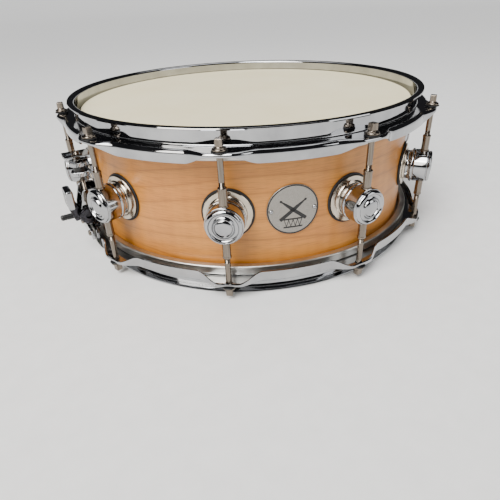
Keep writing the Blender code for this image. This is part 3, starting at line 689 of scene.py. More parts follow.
def make_studio():
    """White paper floor, softboxes to the left, above and to the right, a broad far lamp, a dim room."""
    world = bpy.data.worlds.new("room")
    bpy.context.scene.world = world
    world.use_nodes = True
    world.node_tree.nodes["Background"].inputs["Color"].default_value = linear("#56565a")
    world.node_tree.nodes["Background"].inputs["Strength"].default_value = 0.24
    middle = (0, 0, MIDDLE)
    soft_light("key", (-1.15, -0.55, 0.95), middle, (0.9, 0.9), 16.0, "#fffaf2")
    soft_light("top", (0.15, 0.25, 1.5), middle, (1.4, 1.0), 8.0)
    soft_light("fill", (0.8, -1.3, 0.7), middle, (0.7, 0.9), 5.0)
    # A broad sun-like lamp, far off, lights the paper evenly out to the horizon
    far = bpy.data.lights.new("far", "SUN")
    far.energy = 3.7
    far.angle = math.radians(35)
    lamp = bpy.data.objects.new("far", far)
    bpy.context.scene.collection.objects.link(lamp)
    lamp.rotation_euler = Vector((0.55, 0.35, -1.0)).to_track_quat("-Z", "Y").to_euler()
    paper = bmesh.new()
    bmesh.ops.create_grid(paper, x_segments=64, y_segments=64, size=PAPER_HALF)
    # Flat around the drum, then swept up a little. Low views still see the dark room past its edge
    for corner in paper.verts:
        corner.co.z = PAPER_RISE * ease((corner.co.xy.length - PAPER_FLAT) / PAPER_SWEEP)
    floor = bpy.data.objects.new("floor", to_mesh("floor", paper))
    bpy.context.scene.collection.objects.link(floor)
    floor.location.z = -0.2 * MM
    floor.data.materials.append(studio_paper("pale_paper"))


# Shell, heads and hoops

def make_shell():
    """Maple shell with its two bearing edges and the bore of the air vent."""
    inner = SHELL_RADIUS - SHELL_WALL
    crown = SHELL_RADIUS - EDGE_CROWN
    drop = SHELL_WALL - EDGE_CROWN
    corners = [
        (inner, MIDDLE),
        (inner, BOTTOM_EDGE + drop),
        (crown, BOTTOM_EDGE),
        (SHELL_RADIUS, BOTTOM_EDGE + EDGE_CROWN),
        (SHELL_RADIUS, TOP_EDGE - EDGE_CROWN),
        (crown, TOP_EDGE),
        (inner, TOP_EDGE - drop),
        (inner, MIDDLE),
    ]
    outline = bend_line(corners, [0.6 * MM, 0.7 * MM, 0.8 * MM, 0.8 * MM, 0.7 * MM, 0.6 * MM], 3)[:-1]
    vent_low, vent_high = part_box("air_vent")
    vent = (vent_low + vent_high) / 2
    way = Vector((vent.x, vent.y, 0)).normalized()
    start = way * (inner - 10 * MM) + Vector((0, 0, vent.z))
    end = way * (SHELL_RADIUS + 10 * MM) + Vector((0, 0, vent.z))
    mesh = cut("maple_shell", turned(outline, 240, ring=True), rod(5.3 * MM, start, end, 32))
    mesh.materials.append(MAPLE)
    mesh.materials.append(PLIES)
    for face in mesh.polygons:
        centre = face.center
        outside = math.hypot(centre.x, centre.y) > SHELL_RADIUS - 0.5 * MM
        face.material_index = 0 if outside else 1
    piece("maple_shell", mesh, MAPLE, stands_for=["shell"])


def make_head(node, name, edge, side, material):
    """Film over a bearing edge: flat field, tight collar, and a hem inside the flesh hoop."""
    film = 0.4 * MM
    gap = 0.3 * MM
    middle = gap + film / 2
    corners = [
        (0.0, middle),
        (SHELL_RADIUS - 0.6 * MM, middle),
        (SHELL_RADIUS + 0.6 * MM, -2.0 * MM),
        (SHELL_RADIUS + 4.2 * MM, -9.8 * MM),
        (SHELL_RADIUS + 4.2 * MM, -13.2 * MM),
    ]
    line = bend_line(corners, [0.9 * MM, 2.5 * MM, 1.5 * MM], 5)
    # Rings across the flat field keep its quads short enough to shade evenly
    field = [Vector((line[1].x * share, middle)) for share in (0.25, 0.5, 0.75, 0.9, 0.97)]
    line = [line[0]] + field + line[1:]
    upper, lower = [], []
    for index, point in enumerate(line):
        before, after = line[max(index - 1, 0)], line[min(index + 1, len(line) - 1)]
        along = (after - before).normalized()
        normal = Vector((-along.y, along.x)) * (film / 2)
        upper.append((point + normal if index else Vector((0, middle + film / 2))))
        lower.append((point - normal if index else Vector((0, middle - film / 2))))
    outline = [(point.x, side * point.y) for point in upper + list(reversed(lower))]
    mesh = to_mesh(name, turned(outline, 180))
    piece(name, mesh, material, at=(0, 0, edge), stands_for=[node])


def make_flesh_hoop(node, name, edge, side):
    """Channel around the head's hem, with rolled corners."""
    low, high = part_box(node)
    outer = high.y + 0.35 * MM
    inner = SHELL_RADIUS + 2.5 * MM
    top = -FLESH_HOOP_DROP
    bottom = top - (high.z - low.z)
    line = bend_line(
        [(inner + 0.55 * MM, bottom + 3.3 * MM), (inner + 0.55 * MM, bottom + 0.6 * MM),
         (outer - 0.55 * MM, bottom + 0.6 * MM), (outer - 0.55 * MM, top - 0.6 * MM),
         (outer - 3.4 * MM, top - 0.6 * MM)],
        [0.8 * MM, 0.9 * MM, 0.9 * MM],
        4,
    )
    outline = [(point.x, side * point.y) for point in thicken(line, 1.1 * MM)]
    mesh = to_mesh(name, turned(outline, 180, ring=True))
    piece(name, mesh, CHANNEL, at=(0, 0, edge), stands_for=[node])


def hoop_line(offset):
    """Centre line of the hoop's steel at a distance along the rod circle from the nearest rod."""
    away = ease((abs(offset) - EAR_HALF_WIDTH) / EAR_BLEND)
    wall = HOOP_INNER + STEEL / 2
    reach = EAR_OUTER - STEEL / 2 + (SKIRT_OUTER - EAR_OUTER) * away
    fall = EAR_LIP + (FLANGE_MIDDLE - SKIRT_END - STEEL / 2 - EAR_LIP) * away
    corners = [
        (RIM_OUTER - STEEL / 2, RIM_RISE - STEEL / 2),
        (wall, RIM_RISE - STEEL / 2),
        (wall, FLANGE_MIDDLE),
        (reach, FLANGE_MIDDLE),
        (reach, FLANGE_MIDDLE - fall),
    ]
    return bend_line(corners, [RIM_BEND, FOOT_BEND, LIP_BEND + (SKIRT_BEND - LIP_BEND) * away], 6)


def hoop_offsets():
    """Distances from one rod to the next, closest together along the curves of the ear."""
    half = math.pi * ROD_CIRCLE / LUG_COUNT
    ear = [EAR_HALF_WIDTH * share for share in (0.0, 0.5, 0.85)]
    bend = [EAR_HALF_WIDTH + EAR_BLEND * step / 14 for step in range(15)]
    rest = [bend[-1] + (half - bend[-1]) * step / 6 for step in range(1, 7)]
    near = ear + bend + rest
    return [-distance for distance in reversed(near[1:-1])] + near


def make_hoop(node, name, edge, side, gates):
    """Triple-flanged hoop: rolled rim, wall, flange and skirt in one sheet of steel, with ears."""
    loops = []
    for number in range(LUG_COUNT):
        for offset in hoop_offsets():
            angle = number * LUG_PITCH + math.degrees(offset / ROD_CIRCLE)
            section = thicken(hoop_line(offset), STEEL)
            loops.append([around(point.x, angle, side * point.y) for point in section])
    tools = []
    for number in range(LUG_COUNT):
        angle = number * LUG_PITCH
        low = around(ROD_CIRCLE, angle, side * (FLANGE_MIDDLE - 4 * MM))
        high = around(ROD_CIRCLE, angle, side * (FLANGE_MIDDLE + 4 * MM))
        tools.append(rod(ROD_HOLE, low, high, 24))
    if gates:
        for way in (-90, 90):
            gate = brick(
                (HOOP_INNER - 6 * MM, HOOP_INNER + STEEL + 1.6 * MM),
                (-(RIM_RISE - STEEL - 1.2 * MM), -(FLANGE_MIDDLE + STEEL / 2 + 1.2 * MM)),
                GATE_HALF_WIDTH,
                2.5 * MM,
            )
            tools.append(moved(gate, turn=way))
            # The flange and skirt are opened below the gate, where the strap's jaw stands
            notch = brick(NOTCH_OUT, NOTCH_HEIGHT, GATE_HALF_WIDTH, 1.5 * MM)
            tools.append(moved(notch, turn=way))
    mesh = cut(name, skin(loops), *tools)
    piece(name, mesh, HOOP_CHROME, at=(0, 0, edge), stands_for=[node])


# Lugs and rods

def lug_meshes():
    """Turret lug in three pieces: nickel escutcheon, chrome barrel, and its receiver tubes."""
    gasket_top = 2.1 * MM
    base = [
        (0.0, gasket_top), (13.0, gasket_top), (21.1, gasket_top), (21.5, 2.5 * MM), (21.5, 3.0 * MM),
        (21.0, 3.5 * MM), (19.4, 3.75 * MM), (17.4, 4.0 * MM), (16.9, 4.4 * MM), (16.2, 5.0 * MM),
        (15.2, 5.5 * MM), (0.0, 5.5 * MM),
    ]
    outline = [(radius * MM, height) for radius, height in base]
    escutcheon = bend_to_shell(face_outwards(turned(outline, 64)), 4.1 * MM)
    barrel_outline = [
        (0.0, 5.0), (14.8, 5.0), (14.7, 6.2), (14.6, 7.4), (14.8, 8.4), (15.4, 9.1), (16.4, 9.5), (16.9, 9.8),
        (17.1, 10.4), (17.1, 11.4), (16.9, 11.9), (16.4, 12.2), (16.2, 12.6), (16.3, 13.0), (16.5, 13.4),
        (16.5, 24.4), (16.4, 24.9), (16.0, 25.2), (15.5, 25.3), (15.2, 25.6), (15.1, 26.0), (15.4, 26.3),
        (15.6, 26.7), (15.5, 27.3), (15.1, 28.0), (14.5, 28.6), (13.8, 29.0), (13.3, 29.1), (12.9, 28.9),
        (12.6, 28.4), (12.1, 27.7), (11.3, 27.3), (10.4, 27.3), (9.5, 27.7), (8.9, 28.4), (8.6, 29.0),
        (8.2, 29.4), (7.8, 29.3), (7.5, 28.8), (7.3, 28.5), (7.0, 28.7), (6.4, 29.2), (5.0, 29.7),
        (3.0, 29.95), (1.4, 30.0), (0.0, 30.0),
    ]
    outline = mm(barrel_outline)
    out = ROD_CIRCLE - SHELL_RADIUS
    sockets = []
    for side in (-1, 1):
        deep = (0, -out, side * 12.5 * MM)
        mouth = (0, -out, side * 24 * MM)
        sockets.append(rod(4.5 * MM, deep, mouth, 32))
    barrel = cut("lug_barrel", face_outwards(turned(outline, 72)), *sockets)
    tube_outline = [
        (2.9, 30.8), (3.1, 31.6), (3.4, 32.0), (3.75, 31.7), (3.9, 31.2), (3.9, 30.2),
        (3.65, 29.8), (3.6, 29.4),
        (3.6, 17.6), (3.7, 17.2), (4.2, 16.9), (4.3, 16.5), (4.3, 12.8), (2.9, 12.8),
    ]
    outline = mm(tube_outline)
    upper = moved(turned(outline, 40, ring=True), (0, -out, 0))
    flipped = [(radius, -height) for radius, height in outline]
    lower = moved(turned(flipped, 40, ring=True), (0, -out, 0))
    tubes = to_mesh("lug_receivers", gather(upper, lower))
    return to_mesh("lug_escutcheon", escutcheon), barrel, tubes


def gasket_mesh():
    outline = [(15.0, 0.3), (22.9, 0.3), (23.2, 0.6), (23.2, 1.5), (22.9, 1.8), (15.0, 1.8)]
    outline = mm(outline)
    return to_mesh("rubber_gasket", bend_to_shell(face_outwards(turned(outline, 64, ring=True)), 1.0))


def key_rod_mesh(length):
    """Tension rod: threaded end, plain shank, domed flange and a square head with eased corners."""
    pitch = 0.8 * MM
    outline = [(0.0, -length), (1.9 * MM, -length), (2.3 * MM, -length + 0.5 * MM)]
    height = -length + 0.8 * MM
    # Rings at thread pitch stand for the screw thread, which only shows at the receiver's mouth
    while height < -length + 21 * MM:
        outline += [(2.62 * MM, height), (2.28 * MM, height + pitch / 2)]
        height += pitch
    outline += [
        (2.6 * MM, height),
        (2.6 * MM, -0.3 * MM),
        (5.4 * MM, 0.0),
        (5.8 * MM, 0.3 * MM),
        (5.8 * MM, 1.0 * MM),
        (5.5 * MM, 1.5 * MM),
        (4.9 * MM, 1.9 * MM),
        (4.1 * MM, 2.2 * MM),
        (3.5 * MM, 2.7 * MM),
        (3.3 * MM, 3.2 * MM),
        (0.0, 3.3 * MM),
    ]
    stem = turned(outline, 32)
    head = bmesh.new()
    bmesh.ops.create_cube(head, size=1.0)
    bmesh.ops.scale(head, verts=head.verts[:], vec=(6.1 * MM, 6.1 * MM, 6.2 * MM))
    top = [corner for corner in head.verts if corner.co.z > 0]
    bmesh.ops.scale(head, verts=top, vec=(0.95, 0.95, 1.0))
    bmesh.ops.translate(head, verts=head.verts[:], vec=(0, 0, 5.9 * MM))
    soften(head, 0.7 * MM, 4)
    return to_mesh("key_rod", gather(stem, head))


def washer_mesh():
    outline = [(2.9, 0.0), (6.2, 0.0), (6.5, 0.25), (6.5, 0.6), (6.2, 0.85), (2.9, 0.85)]
    outline = mm(outline)
    return to_mesh("rod_washer", turned(outline, 32, ring=True))


def screw_mesh(radius, height, stem, stem_length):
    """Pan-head screw with a hexagon socket, its head standing on Z = 0."""
    socket = radius * 0.45
    outline = [
        (0.0, height * 0.35), (socket, height * 0.35), (socket, height * 0.93), (socket * 1.15, height),
        (radius * 0.75, height * 0.97), (radius * 0.95, height * 0.7), (radius, height * 0.3),
        (radius, 0.0), (stem, 0.0), (stem, -stem_length), (0.0, -stem_length),
    ]

    def hexagon(index, angle, reach):
        if index not in (1, 2):
            return reach
        part = (angle + math.radians(30)) % math.radians(60) - math.radians(30)
        return reach * math.cos(math.radians(30)) / math.cos(part)

    return turned(outline, 36, shape=hexagon)


def wall_screw():
    """Screw and washer that stand on the shell's inner wall and point out of the drum."""
    screw = moved(face_outwards(screw_mesh(4.2 * MM, 2.6 * MM, 2.4 * MM, SHELL_WALL)), turn=180)
    washer = turned(mm([(2.6, 0.0), (6.0, 0.0), (6.0, 1.0), (2.6, 1.0)]), 32, ring=True)
    return gather(moved(screw, (0, 1.0 * MM, 0)), moved(face_outwards(washer), turn=180))


def make_lugs():
    escutcheon, barrel, tubes = lug_meshes()
    gasket = gasket_mesh()
    fixing = to_mesh("lug_screw", wall_screw())
    for number in range(1, LUG_COUNT + 1):
        angle = (number - 1) * LUG_PITCH
        centre = around(SHELL_RADIUS, angle, MIDDLE)
        node = f"turret_lug_{number:02d}"
        turn = (0, 0, angle)
        body = piece(
            f"lug_barrel_{number:02d}", barrel, LUG_CHROME, at=centre, turn=turn
        )
        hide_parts(node)
        piece(f"lug_escutcheon_{number:02d}", escutcheon, ESCUTCHEON, at=centre, turn=turn)
        piece(f"lug_receivers_{number:02d}", tubes, NICKEL, at=centre, turn=turn)
        seal = piece(f"rubber_gasket_{number:02d}", gasket, RUBBER, at=centre, turn=turn)
        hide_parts(f"lug_gasket_{number:02d}")
        for side, word in ((-1, "low"), (1, "high")):
            inside = around(
                SHELL_RADIUS - SHELL_WALL - 0.3 * MM, angle, MIDDLE + side * LUG_SCREW_SPACING / 2
            )
            piece(f"lug_screw_{word}_{number:02d}", fixing, NICKEL, at=inside, turn=turn)


def make_rods():
    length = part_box("batter_tension_rod_01")[0].z
    length = ROD_SEAT.z - length
    key_rod = key_rod_mesh(length)
    washer = washer_mesh()
    for side, word in ((1, "batter"), (-1, "snare_side")):
        seat = ROD_SEAT.z if side == 1 else 2 * MIDDLE - ROD_SEAT.z
        for number in range(1, LUG_COUNT + 1):
            angle = (number - 1) * LUG_PITCH
            turn = (0 if side == 1 else 180, 0, angle)
            at = around(ROD_CIRCLE, angle, seat)
            tension_rod = piece(
                f"{word}_key_rod_{number:02d}", key_rod, NICKEL, f"{word}_rod_{number:02d}", at, turn,
            )
            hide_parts(f"{word}_tension_rod_{number:02d}")
            under = around(ROD_CIRCLE, angle, seat - side * 1.2 * MM)
            piece(f"{word}_rod_washer_{number:02d}", washer, NYLON, at=under, turn=turn)


# Badge and air vent

def plaque(points, back, front, steps=10):
    """A flat shape in the plane of the shell's wall, cut into strips so that it can be bent."""
    bm = bmesh.new()
    corners = [bm.verts.new((x, -back, z)) for x, z in points]
    face = bm.faces.new(corners)
    raised = bmesh.ops.extrude_face_region(bm, geom=[face])["geom"]
    raised = [item for item in raised if isinstance(item, bmesh.types.BMVert)]
    bmesh.ops.translate(bm, verts=raised, vec=(0, back - front, 0))
    reach = max(abs(x) for x, z in points)
    for step in range(-steps + 1, steps):
        bmesh.ops.bisect_plane(
            bm,
            geom=bm.verts[:] + bm.edges[:] + bm.faces[:],
            plane_co=(reach * step / steps, 0, 0),
            plane_no=(1, 0, 0),
        )
    return bm


def drum_stick(tilt, length, back, front):
    """A drumstick in relief: long taper and a small rounded tip."""
    half = [
        (-0.50, 0.0), (-0.495, 0.038), (-0.48, 0.053), (0.10, 0.053), (0.34, 0.030),
        (0.41, 0.020), (0.43, 0.028),
        (0.455, 0.036), (0.48, 0.032), (0.495, 0.018), (0.50, 0.0),
    ]
    rim = half + [(along, -across) for along, across in reversed(half[1:-1])]
    turn = math.radians(tilt)
    points = []
    for along, across in rim:
        x = (along * math.sin(turn) + across * math.cos(turn)) * length
        z = (along * math.cos(turn) - across * math.sin(turn)) * length
        points.append((x, z))
    return plaque(points, back, front)


def ring_relief(inner, outer, back, front, steps=96):
    outline = [(inner, back), (outer, back), (outer, front), (inner, front)]
    outline = mm(outline)
    return face_outwards(turned(outline, steps, ring=True))


def make_badge():
    """Round badge with a plain emblem of two crossed sticks over a drum, and its two pins."""
    angle = -LUG_PITCH / 2
    at, turn = around(SHELL_RADIUS, angle, MIDDLE), (0, 0, angle)
    outline = [(0.0, 0.3), (12.0, 0.3), (23.1, 0.3), (23.3, 0.6), (23.3, 1.05), (23.0, 1.4), (22.4, 1.5)]
    outline += [(radius, 1.42) for radius in (21.9, 18.0, 14.0, 10.0, 6.0, 3.0, 0.0)]
    outline = mm(outline)
    disc = bend_to_shell(face_outwards(turned(outline, 96)), 1.0)
    piece("badge_disc", to_mesh("badge_disc", disc), BADGE, at=at, turn=turn, stands_for=["badge"])
    sticks = [drum_stick(tilt, 30 * MM, 1.3 * MM, 1.56 * MM) for tilt in (52, -52)]
    # The little drum under the sticks: two hoops and a waist of cords
    bars = [((-8.6, -8.0), (8.6, -9.3)), ((-8.6, -15.6), (8.6, -16.9))]
    for low, high in bars:
        bar = [(low[0], low[1]), (high[0], low[1]), (high[0], high[1]), (low[0], high[1])]
        sticks.append(plaque([(x * MM, z * MM) for x, z in bar], 1.3 * MM, 1.56 * MM))
    for index in range(4):
        left = -8.0 + index * 4.0
        for start, end in ((left, left + 2.0), (left + 4.0, left + 2.0)):
            cord = [(start - 0.3, -9.3), (start + 0.3, -9.3), (end + 0.3, -15.6), (end - 0.3, -15.6)]
            sticks.append(plaque([(x * MM, z * MM) for x, z in cord], 1.3 * MM, 1.50 * MM, 3))
    sticks.append(ring_relief(21.8, 22.9, 1.3, 1.62))
    emblem = bend_to_shell(gather(*sticks), 1.0)
    piece("badge_emblem", to_mesh("badge_emblem", emblem), ENAMEL, at=at, turn=turn)
    dome = [(0.0, 3.2), (0.9, 3.05), (1.55, 2.6), (1.95, 2.0), (2.1, 1.3), (0.0, 1.3)]
    dome = mm(dome)
    pins = []
    for side in (-1, 1):
        x = side * 19.4 * MM
        sag = SHELL_RADIUS - math.sqrt(SHELL_RADIUS**2 - x**2)
        pins.append(moved(face_outwards(turned(dome, 24)), (x, sag, 0)))
    piece("badge_pins", to_mesh("badge_pins", gather(*pins)), LUG_CHROME, at=at, turn=turn)


def make_vent():
    """Chromed eyelet of the air vent, rolled over inside the shell."""
    angle = 180 - LUG_PITCH / 2
    outline = [
        (3.6, 0.9), (3.9, 1.3), (4.6, 1.55), (6.0, 1.6), (7.6, 1.3), (8.3, 0.8), (8.5, 0.3), (5.0, 0.3),
        (5.0, -7.5), (6.4, -7.5), (6.7, -7.8), (6.5, -8.2), (5.2, -8.5), (4.2, -8.3), (3.6, -7.8),
    ]
    outline = mm(outline)
    mesh = to_mesh("vent_eyelet", face_outwards(turned(outline, 48, ring=True)))
    piece("vent_eyelet", mesh, LUG_CHROME, at=around(SHELL_RADIUS, angle, MIDDLE), turn=(0, 0, angle),
          stands_for=["air_vent"])


# Strainer, butt plate, straps and wires

def clamp_screws(name, body, turn):
    """The two screws in the front of a strap's clamp."""
    screws = []
    for side in (-1, 1):
        screw = face_outwards(screw_mesh(3.0 * MM, 1.9 * MM, 1.5 * MM, 2.0 * MM))
        at = (side * CLAMP_SCREW_ACROSS * MM, -CLAMP_OUT[1] * MM, CLAMP_SCREW_HEIGHT * MM)
        screws.append(moved(screw, at))
    piece(name, to_mesh(name, gather(*screws)), NICKEL, body, turn=turn)


def fixing_screws(name, heights, turn):
    """Screws and washers inside the shell that hold the strainer or the butt plate."""
    inner = SHELL_RADIUS - SHELL_WALL - 0.3 * MM
    parts = [moved(wall_screw(), (0, -inner, height * MM)) for height in heights]
    piece(name, to_mesh(name, gather(*parts)), NICKEL, turn=turn)


def make_strainer():
    """Throw-off: base with two cheeks and a slotted shelf, carriage, clamp, lever and knob."""
    turn = (0, 0, -90)
    plate = bar((178.1, 181.1), (35.9, 108.0), 14.5, 0.6, 1.2, 2)
    side = round_corners([(180.2, 36.8), (203.0, 36.8), (203.0, 55.0), (197.0, 74.5), (180.2, 74.5)], 4.0)
    cheeks = [slab(side, 1.4 * MM, 0.5 * MM, way * 11.6 * MM) for way in (-1, 1)]
    shelf = bar((180.2, 206.0), (104.0, 108.0), 11.0, 1.2, 0.7)
    slot = slab(mm(oblong((189.6, 215.0), (99.0, 112.0))), 3.4 * MM, 1.0 * MM)
    pivot = (-PIVOT_OUT * MM, PIVOT_HEIGHT * MM)
    pin_hole = rod(2.8 * MM, (-20 * MM, *pivot), (20 * MM, *pivot))
    shelf = bpy_to_bm(cut("shelf", shelf, slot))
    cheeks = bpy_to_bm(cut("cheeks", gather(*cheeks), pin_hole))
    mesh = to_mesh("strainer_plate", gather(plate, cheeks, shelf))
    piece("strainer_plate", mesh, LUG_CHROME, turn=turn, stands_for=["strainer_base"])
    fixing_screws("strainer_fixing_screws", (86.5, 45.8), turn)
    # Pivot pin: a small riveted end, and a big round head with a hexagon socket
    outline = [
        (0.0, -13.9), (1.6, -13.7), (2.3, -13.2), (2.5, -12.8), (2.5, 13.3), (7.9, 13.3), (8.4, 13.7),
        (8.5, 14.3), (8.5, 17.4), (8.3, 18.1), (7.7, 18.6), (6.6, 18.8), (3.0, 18.8), (2.8, 18.4),
        (2.8, 16.0), (0.0, 16.0),
    ]
    pin = moved(moved(turned(mm(outline), 48), turn=90, axis="Y"), (0, *pivot))
    piece("pivot_pin", to_mesh("pivot_pin", pin), DARK_PLATE, turn=turn, stands_for=["lever_pivot_pin"])
    # Carriage: tongue, boss, bridge and jaw in one plated casting
    tongue = bar((181.6, 191.0), (30.3, 64.5), 9.7, 0.8, 0.8)
    boss = bar((182.6, 198.0), (59.5, 64.4), 9.5, 1.2, 1.2)
    bridge = bar((182.6, 195.7), (30.4, 34.3), 9.5, 0.8, 0.6)
    jaw = bar(JAW_OUT, JAW_HEIGHT, JAW_HALF_WIDTH, 0.8, 1.4)
    mesh = to_mesh("slide_casting", gather(tongue, boss, bridge, jaw))
    piece("slide_casting", mesh, LUG_CHROME, "carriage", turn=turn, stands_for=["strainer_carriage"])
    clamp = bar(CLAMP_OUT, JAW_HEIGHT, JAW_HALF_WIDTH, 0.8, 1.8)
    piece("strap_clamp", to_mesh("strap_clamp", clamp), LUG_CHROME, "carriage", turn=turn,
          stands_for=["strainer_clamp"])
    clamp_screws("strap_clamp_screws", "carriage", turn)
    make_lever(turn)
    make_knob(turn)


def make_lever(turn):
    """Lever: dark hub and web on the pin, a chromed thumb plate above, and a slim dark handle."""
    pivot, height = PIVOT_OUT, PIVOT_HEIGHT
    hub = rod(6.0 * MM, (-9.7 * MM, -pivot * MM, height * MM), (9.7 * MM, -pivot * MM, height * MM), 48)
    soften(hub, 0.7 * MM)
    web = [(0.0, -5.0), (12.0, -7.0), (16.0, 8.0), (7.5, 10.0)]
    web = round_corners([(pivot + out, height + up) for out, up in web], 1.4, 4)
    web = slab(web, 9.5 * MM, 1.6 * MM)
    mesh = to_mesh("lever_hub", gather(hub, web))
    piece("lever_hub", mesh, DARK_PLATE, "lever", turn=turn, stands_for=["strainer_lever"])
    thumb = [(8.5, 6.0), (16.0, 6.0), (16.0, 26.0), (8.5, 26.0)]
    thumb = round_corners([(pivot + out, height + up) for out, up in thumb], 2.5, 6)
    thumb = slab(thumb, 11.0 * MM, 2.0 * MM)
    # Shallow grip grooves across the thumb plate
    grooves = []
    for step in range(5):
        level = (height + 10.5 + step * 3.0) * MM
        left, right = [(side * 8 * MM, -(pivot + 16.2) * MM, level) for side in (-1, 1)]
        grooves.append(rod(0.7 * MM, left, right, 16))
    mesh = cut("lever_thumb_plate", thumb, gather(*grooves))
    piece("lever_thumb_plate", mesh, LUG_CHROME, "lever", turn=turn)
    handle_outline = [
        (0.0, 25.0), (1.6, 24.9), (2.5, 24.3), (2.95, 23.3), (3.0, 22.0), (2.7, 21.4),
        (2.7, 21.0), (3.0, 20.6),
        (3.0, 19.6), (2.7, 19.2), (2.7, 18.8), (3.0, 18.4), (3.0, 12.4), (2.5, 11.8), (2.5, 9.0), (0.0, 9.0),
    ]
    handle = moved(face_outwards(turned(mm(handle_outline), 32)), (0, -pivot * MM, (height - 3.5) * MM))
    piece("lever_handle", to_mesh("lever_handle", handle), NYLON, "lever", turn=turn)
    recess = face_outwards(screw_mesh(3.0 * MM, 0.5 * MM, 1.4 * MM, 1.0 * MM))
    recess = moved(recess, turn=-90)
    recess = moved(recess, (-9.5 * MM, -(pivot + 8.0) * MM, (height + 0.5) * MM))
    piece("lever_set_screw", to_mesh("lever_set_screw", recess), NICKEL, "lever", turn=turn)


def make_knob(turn):
    """Snare tension knob: two fluted discs with a dark waist, on a threaded screw."""
    flutes = 40

    def fluted(index, angle, reach):
        if reach < 9.0 * MM:
            return reach
        return reach - 0.35 * MM * (0.5 - 0.5 * math.cos(angle * flutes))

    low, high = 86.0, 101.0
    discs = []
    for base in (low, high - 5.0):
        outline = [(2.6, base), (8.4, base), (9.2, base + 0.5), (9.5, base + 1.1), (9.5, base + 3.9),
                   (9.2, base + 4.5), (8.4, base + 5.0), (2.6, base + 5.0)]
        discs.append(turned(mm(outline), flutes * 6, ring=True, shape=fluted))
    at = (0, -KNOB_OUT * MM, 0)
    discs = moved(gather(*discs), at)
    piece("knob_discs", to_mesh("knob_discs", discs), LUG_CHROME, "tension_knob", turn=turn,
          stands_for=["snare_tension_knob"])
    waist = [(2.6, 90.9), (6.7, 90.9), (6.3, 92.0), (6.3, 95.0), (6.7, 96.1), (2.6, 96.1)]
    waist = turned(mm(waist), 48, ring=True)
    piece("knob_waist", to_mesh("knob_waist", moved(waist, at)), NYLON, "tension_knob", turn=turn)
    thread = [(0.0, 60.5), (1.9, 60.5), (2.2, 60.9)]
    height = 61.2
    while height < 108.8:
        thread += [(2.4, height), (2.12, height + 0.4)]
        height += 0.8
    thread += [(2.3, 109.4), (1.8, 110.0), (0.0, 110.0)]
    screw = moved(turned(mm(thread), 28), at)
    piece("knob_screw", to_mesh("knob_screw", screw), NICKEL, "tension_knob", turn=turn)


def make_butt():
    """Butt plate: casting with a sloped front, its strap clamp and two screws."""
    turn = (0, 0, 90)
    plate = bar((178.1, 181.1), (29.4, 64.8), 20.0, 0.6, 1.2, 2)
    body = [(180.1, 30.3), (195.7, 30.3), (195.7, 34.3), (191.2, 43.8), (180.1, 60.8)]
    body = slab(round_corners(body, 1.8, 5), 17.5 * MM, 1.6 * MM)
    jaw = bar(JAW_OUT, JAW_HEIGHT, JAW_HALF_WIDTH, 0.8, 1.4)
    piece("butt_casting", to_mesh("butt_casting", gather(plate, body, jaw)), LUG_CHROME, turn=turn,
          stands_for=["butt_plate"])
    clamp = bar(CLAMP_OUT, JAW_HEIGHT, JAW_HALF_WIDTH, 0.8, 1.8)
    piece("butt_strap_clamp", to_mesh("butt_strap_clamp", clamp), LUG_CHROME, turn=turn,
          stands_for=["butt_clamp"])
    clamp_screws("butt_clamp_screws", "drum", turn)
    fixing_screws("butt_fixing_screws", (56.8, 39.8), turn)


def make_straps():
    """Two milky straps from the wires' end plates, out through the snare gates, up into the jaws."""
    wires_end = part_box("snare_wires")[1].x / MM
    for node, name, start, body, turn in (
        ("strainer_strap", "strap_at_strainer", wires_end + 0.3, "wires", -90),
        ("butt_strap", "strap_at_butt", wires_end + 1.0, "drum", 90),
    ):
        corners = [(start, 10.0), (193.0, 10.0), (197.0, 20.8), (197.0, 33.8)]
        line = [Vector(point) for point in mm(bend_line(corners, [6.0, 6.0], 8))]
        outline = [tuple(point) for point in thicken(line, 0.6 * MM, 3)]
        strap = slab(outline, 22.0 * MM, 0.15 * MM)
        piece(name, to_mesh(name, strap), STRAP, body, turn=(0, 0, turn), stands_for=[node])


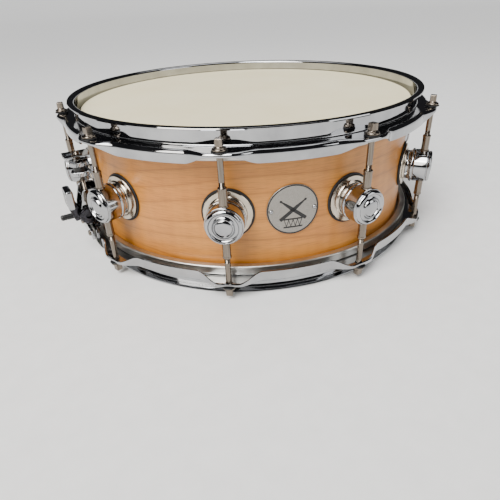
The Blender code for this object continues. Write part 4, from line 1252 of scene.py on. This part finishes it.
def make_wires():
    """Twenty coiled strands between two folded end plates."""
    low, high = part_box("snare_wires")
    level = (low.z + high.z) / 2
    count, pitch = 20, 3.4 * MM
    plate_length = 12.0 * MM
    run = high.x - low.x - 2 * plate_length + 2.0 * MM
    coil, gauge, turns, points = 0.58 * MM, 0.2 * MM, 96, 7
    loops = []
    total = turns * points
    for step in range(total + 1):
        angle = 2 * math.pi * step / points
        centre = Vector((-run / 2 + run * step / total, coil * math.cos(angle), coil * math.sin(angle)))
        along = Vector((run / total, -coil * math.sin(angle) * 2 * math.pi / points,
                        coil * math.cos(angle) * 2 * math.pi / points)).normalized()
        outwards = Vector((0, math.cos(angle), math.sin(angle)))
        side = along.cross(outwards)
        loop = []
        for corner in range(4):
            part = math.pi / 2 * corner
            loop.append(centre + (outwards * math.cos(part) + side * math.sin(part)) * gauge)
        loops.append(loop)
    strand = to_mesh("coiled_strand", skin(loops, closed_loops=False, closed_ends=True), 80)
    for index in range(count):
        y = (index - (count - 1) / 2) * pitch
        thing = piece(f"coiled_strand_{index + 1:02d}", strand, SPRING, "wires", at=(0, y, level))
        if index == 0:
            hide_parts("snare_wires")
    half = (count - 1) / 2 * pitch + 0.8 * MM
    for side, word in ((-1, "strainer"), (1, "butt")):
        start = side * (high.x - plate_length)
        end = side * high.x
        heights = (level - 0.75 * MM, level + 0.75 * MM)
        plate = slab(oblong((start, end), heights), half, 0.3 * MM)
        slots = []
        for way in (-1, 1):
            for low_side in (-1, 1):
                x = side * (high.x - 3.2 * MM)
                slots.append(moved(rod(0.9 * MM, (0, 0, level - 2 * MM), (0, 0, level + 2 * MM), 16),
                                   (way * 12 * MM + low_side * 4 * MM, -x, 0)))
        mesh = cut(f"wire_end_plate_{word}", plate, *slots)
        piece(f"wire_end_plate_{word}", mesh, SPRING, "wires", turn=(0, 0, 90))


make_camera()
make_studio()
make_shell()
make_head("batter_head", "coated_batter_head", TOP_EDGE, 1, COATED)
make_head("snare_side_head", "clear_snare_head", BOTTOM_EDGE, -1, CLEAR)
make_flesh_hoop("batter_flesh_hoop", "batter_head_channel", TOP_EDGE, 1)
make_flesh_hoop("snare_side_flesh_hoop", "snare_head_channel", BOTTOM_EDGE, -1)
make_hoop("batter_hoop", "batter_flanged_hoop", TOP_EDGE, 1, False)
make_hoop("snare_side_hoop", "snare_flanged_hoop", BOTTOM_EDGE, -1, True)
make_lugs()
make_rods()
make_badge()
make_vent()
make_strainer()
make_butt()
make_straps()
make_wires()
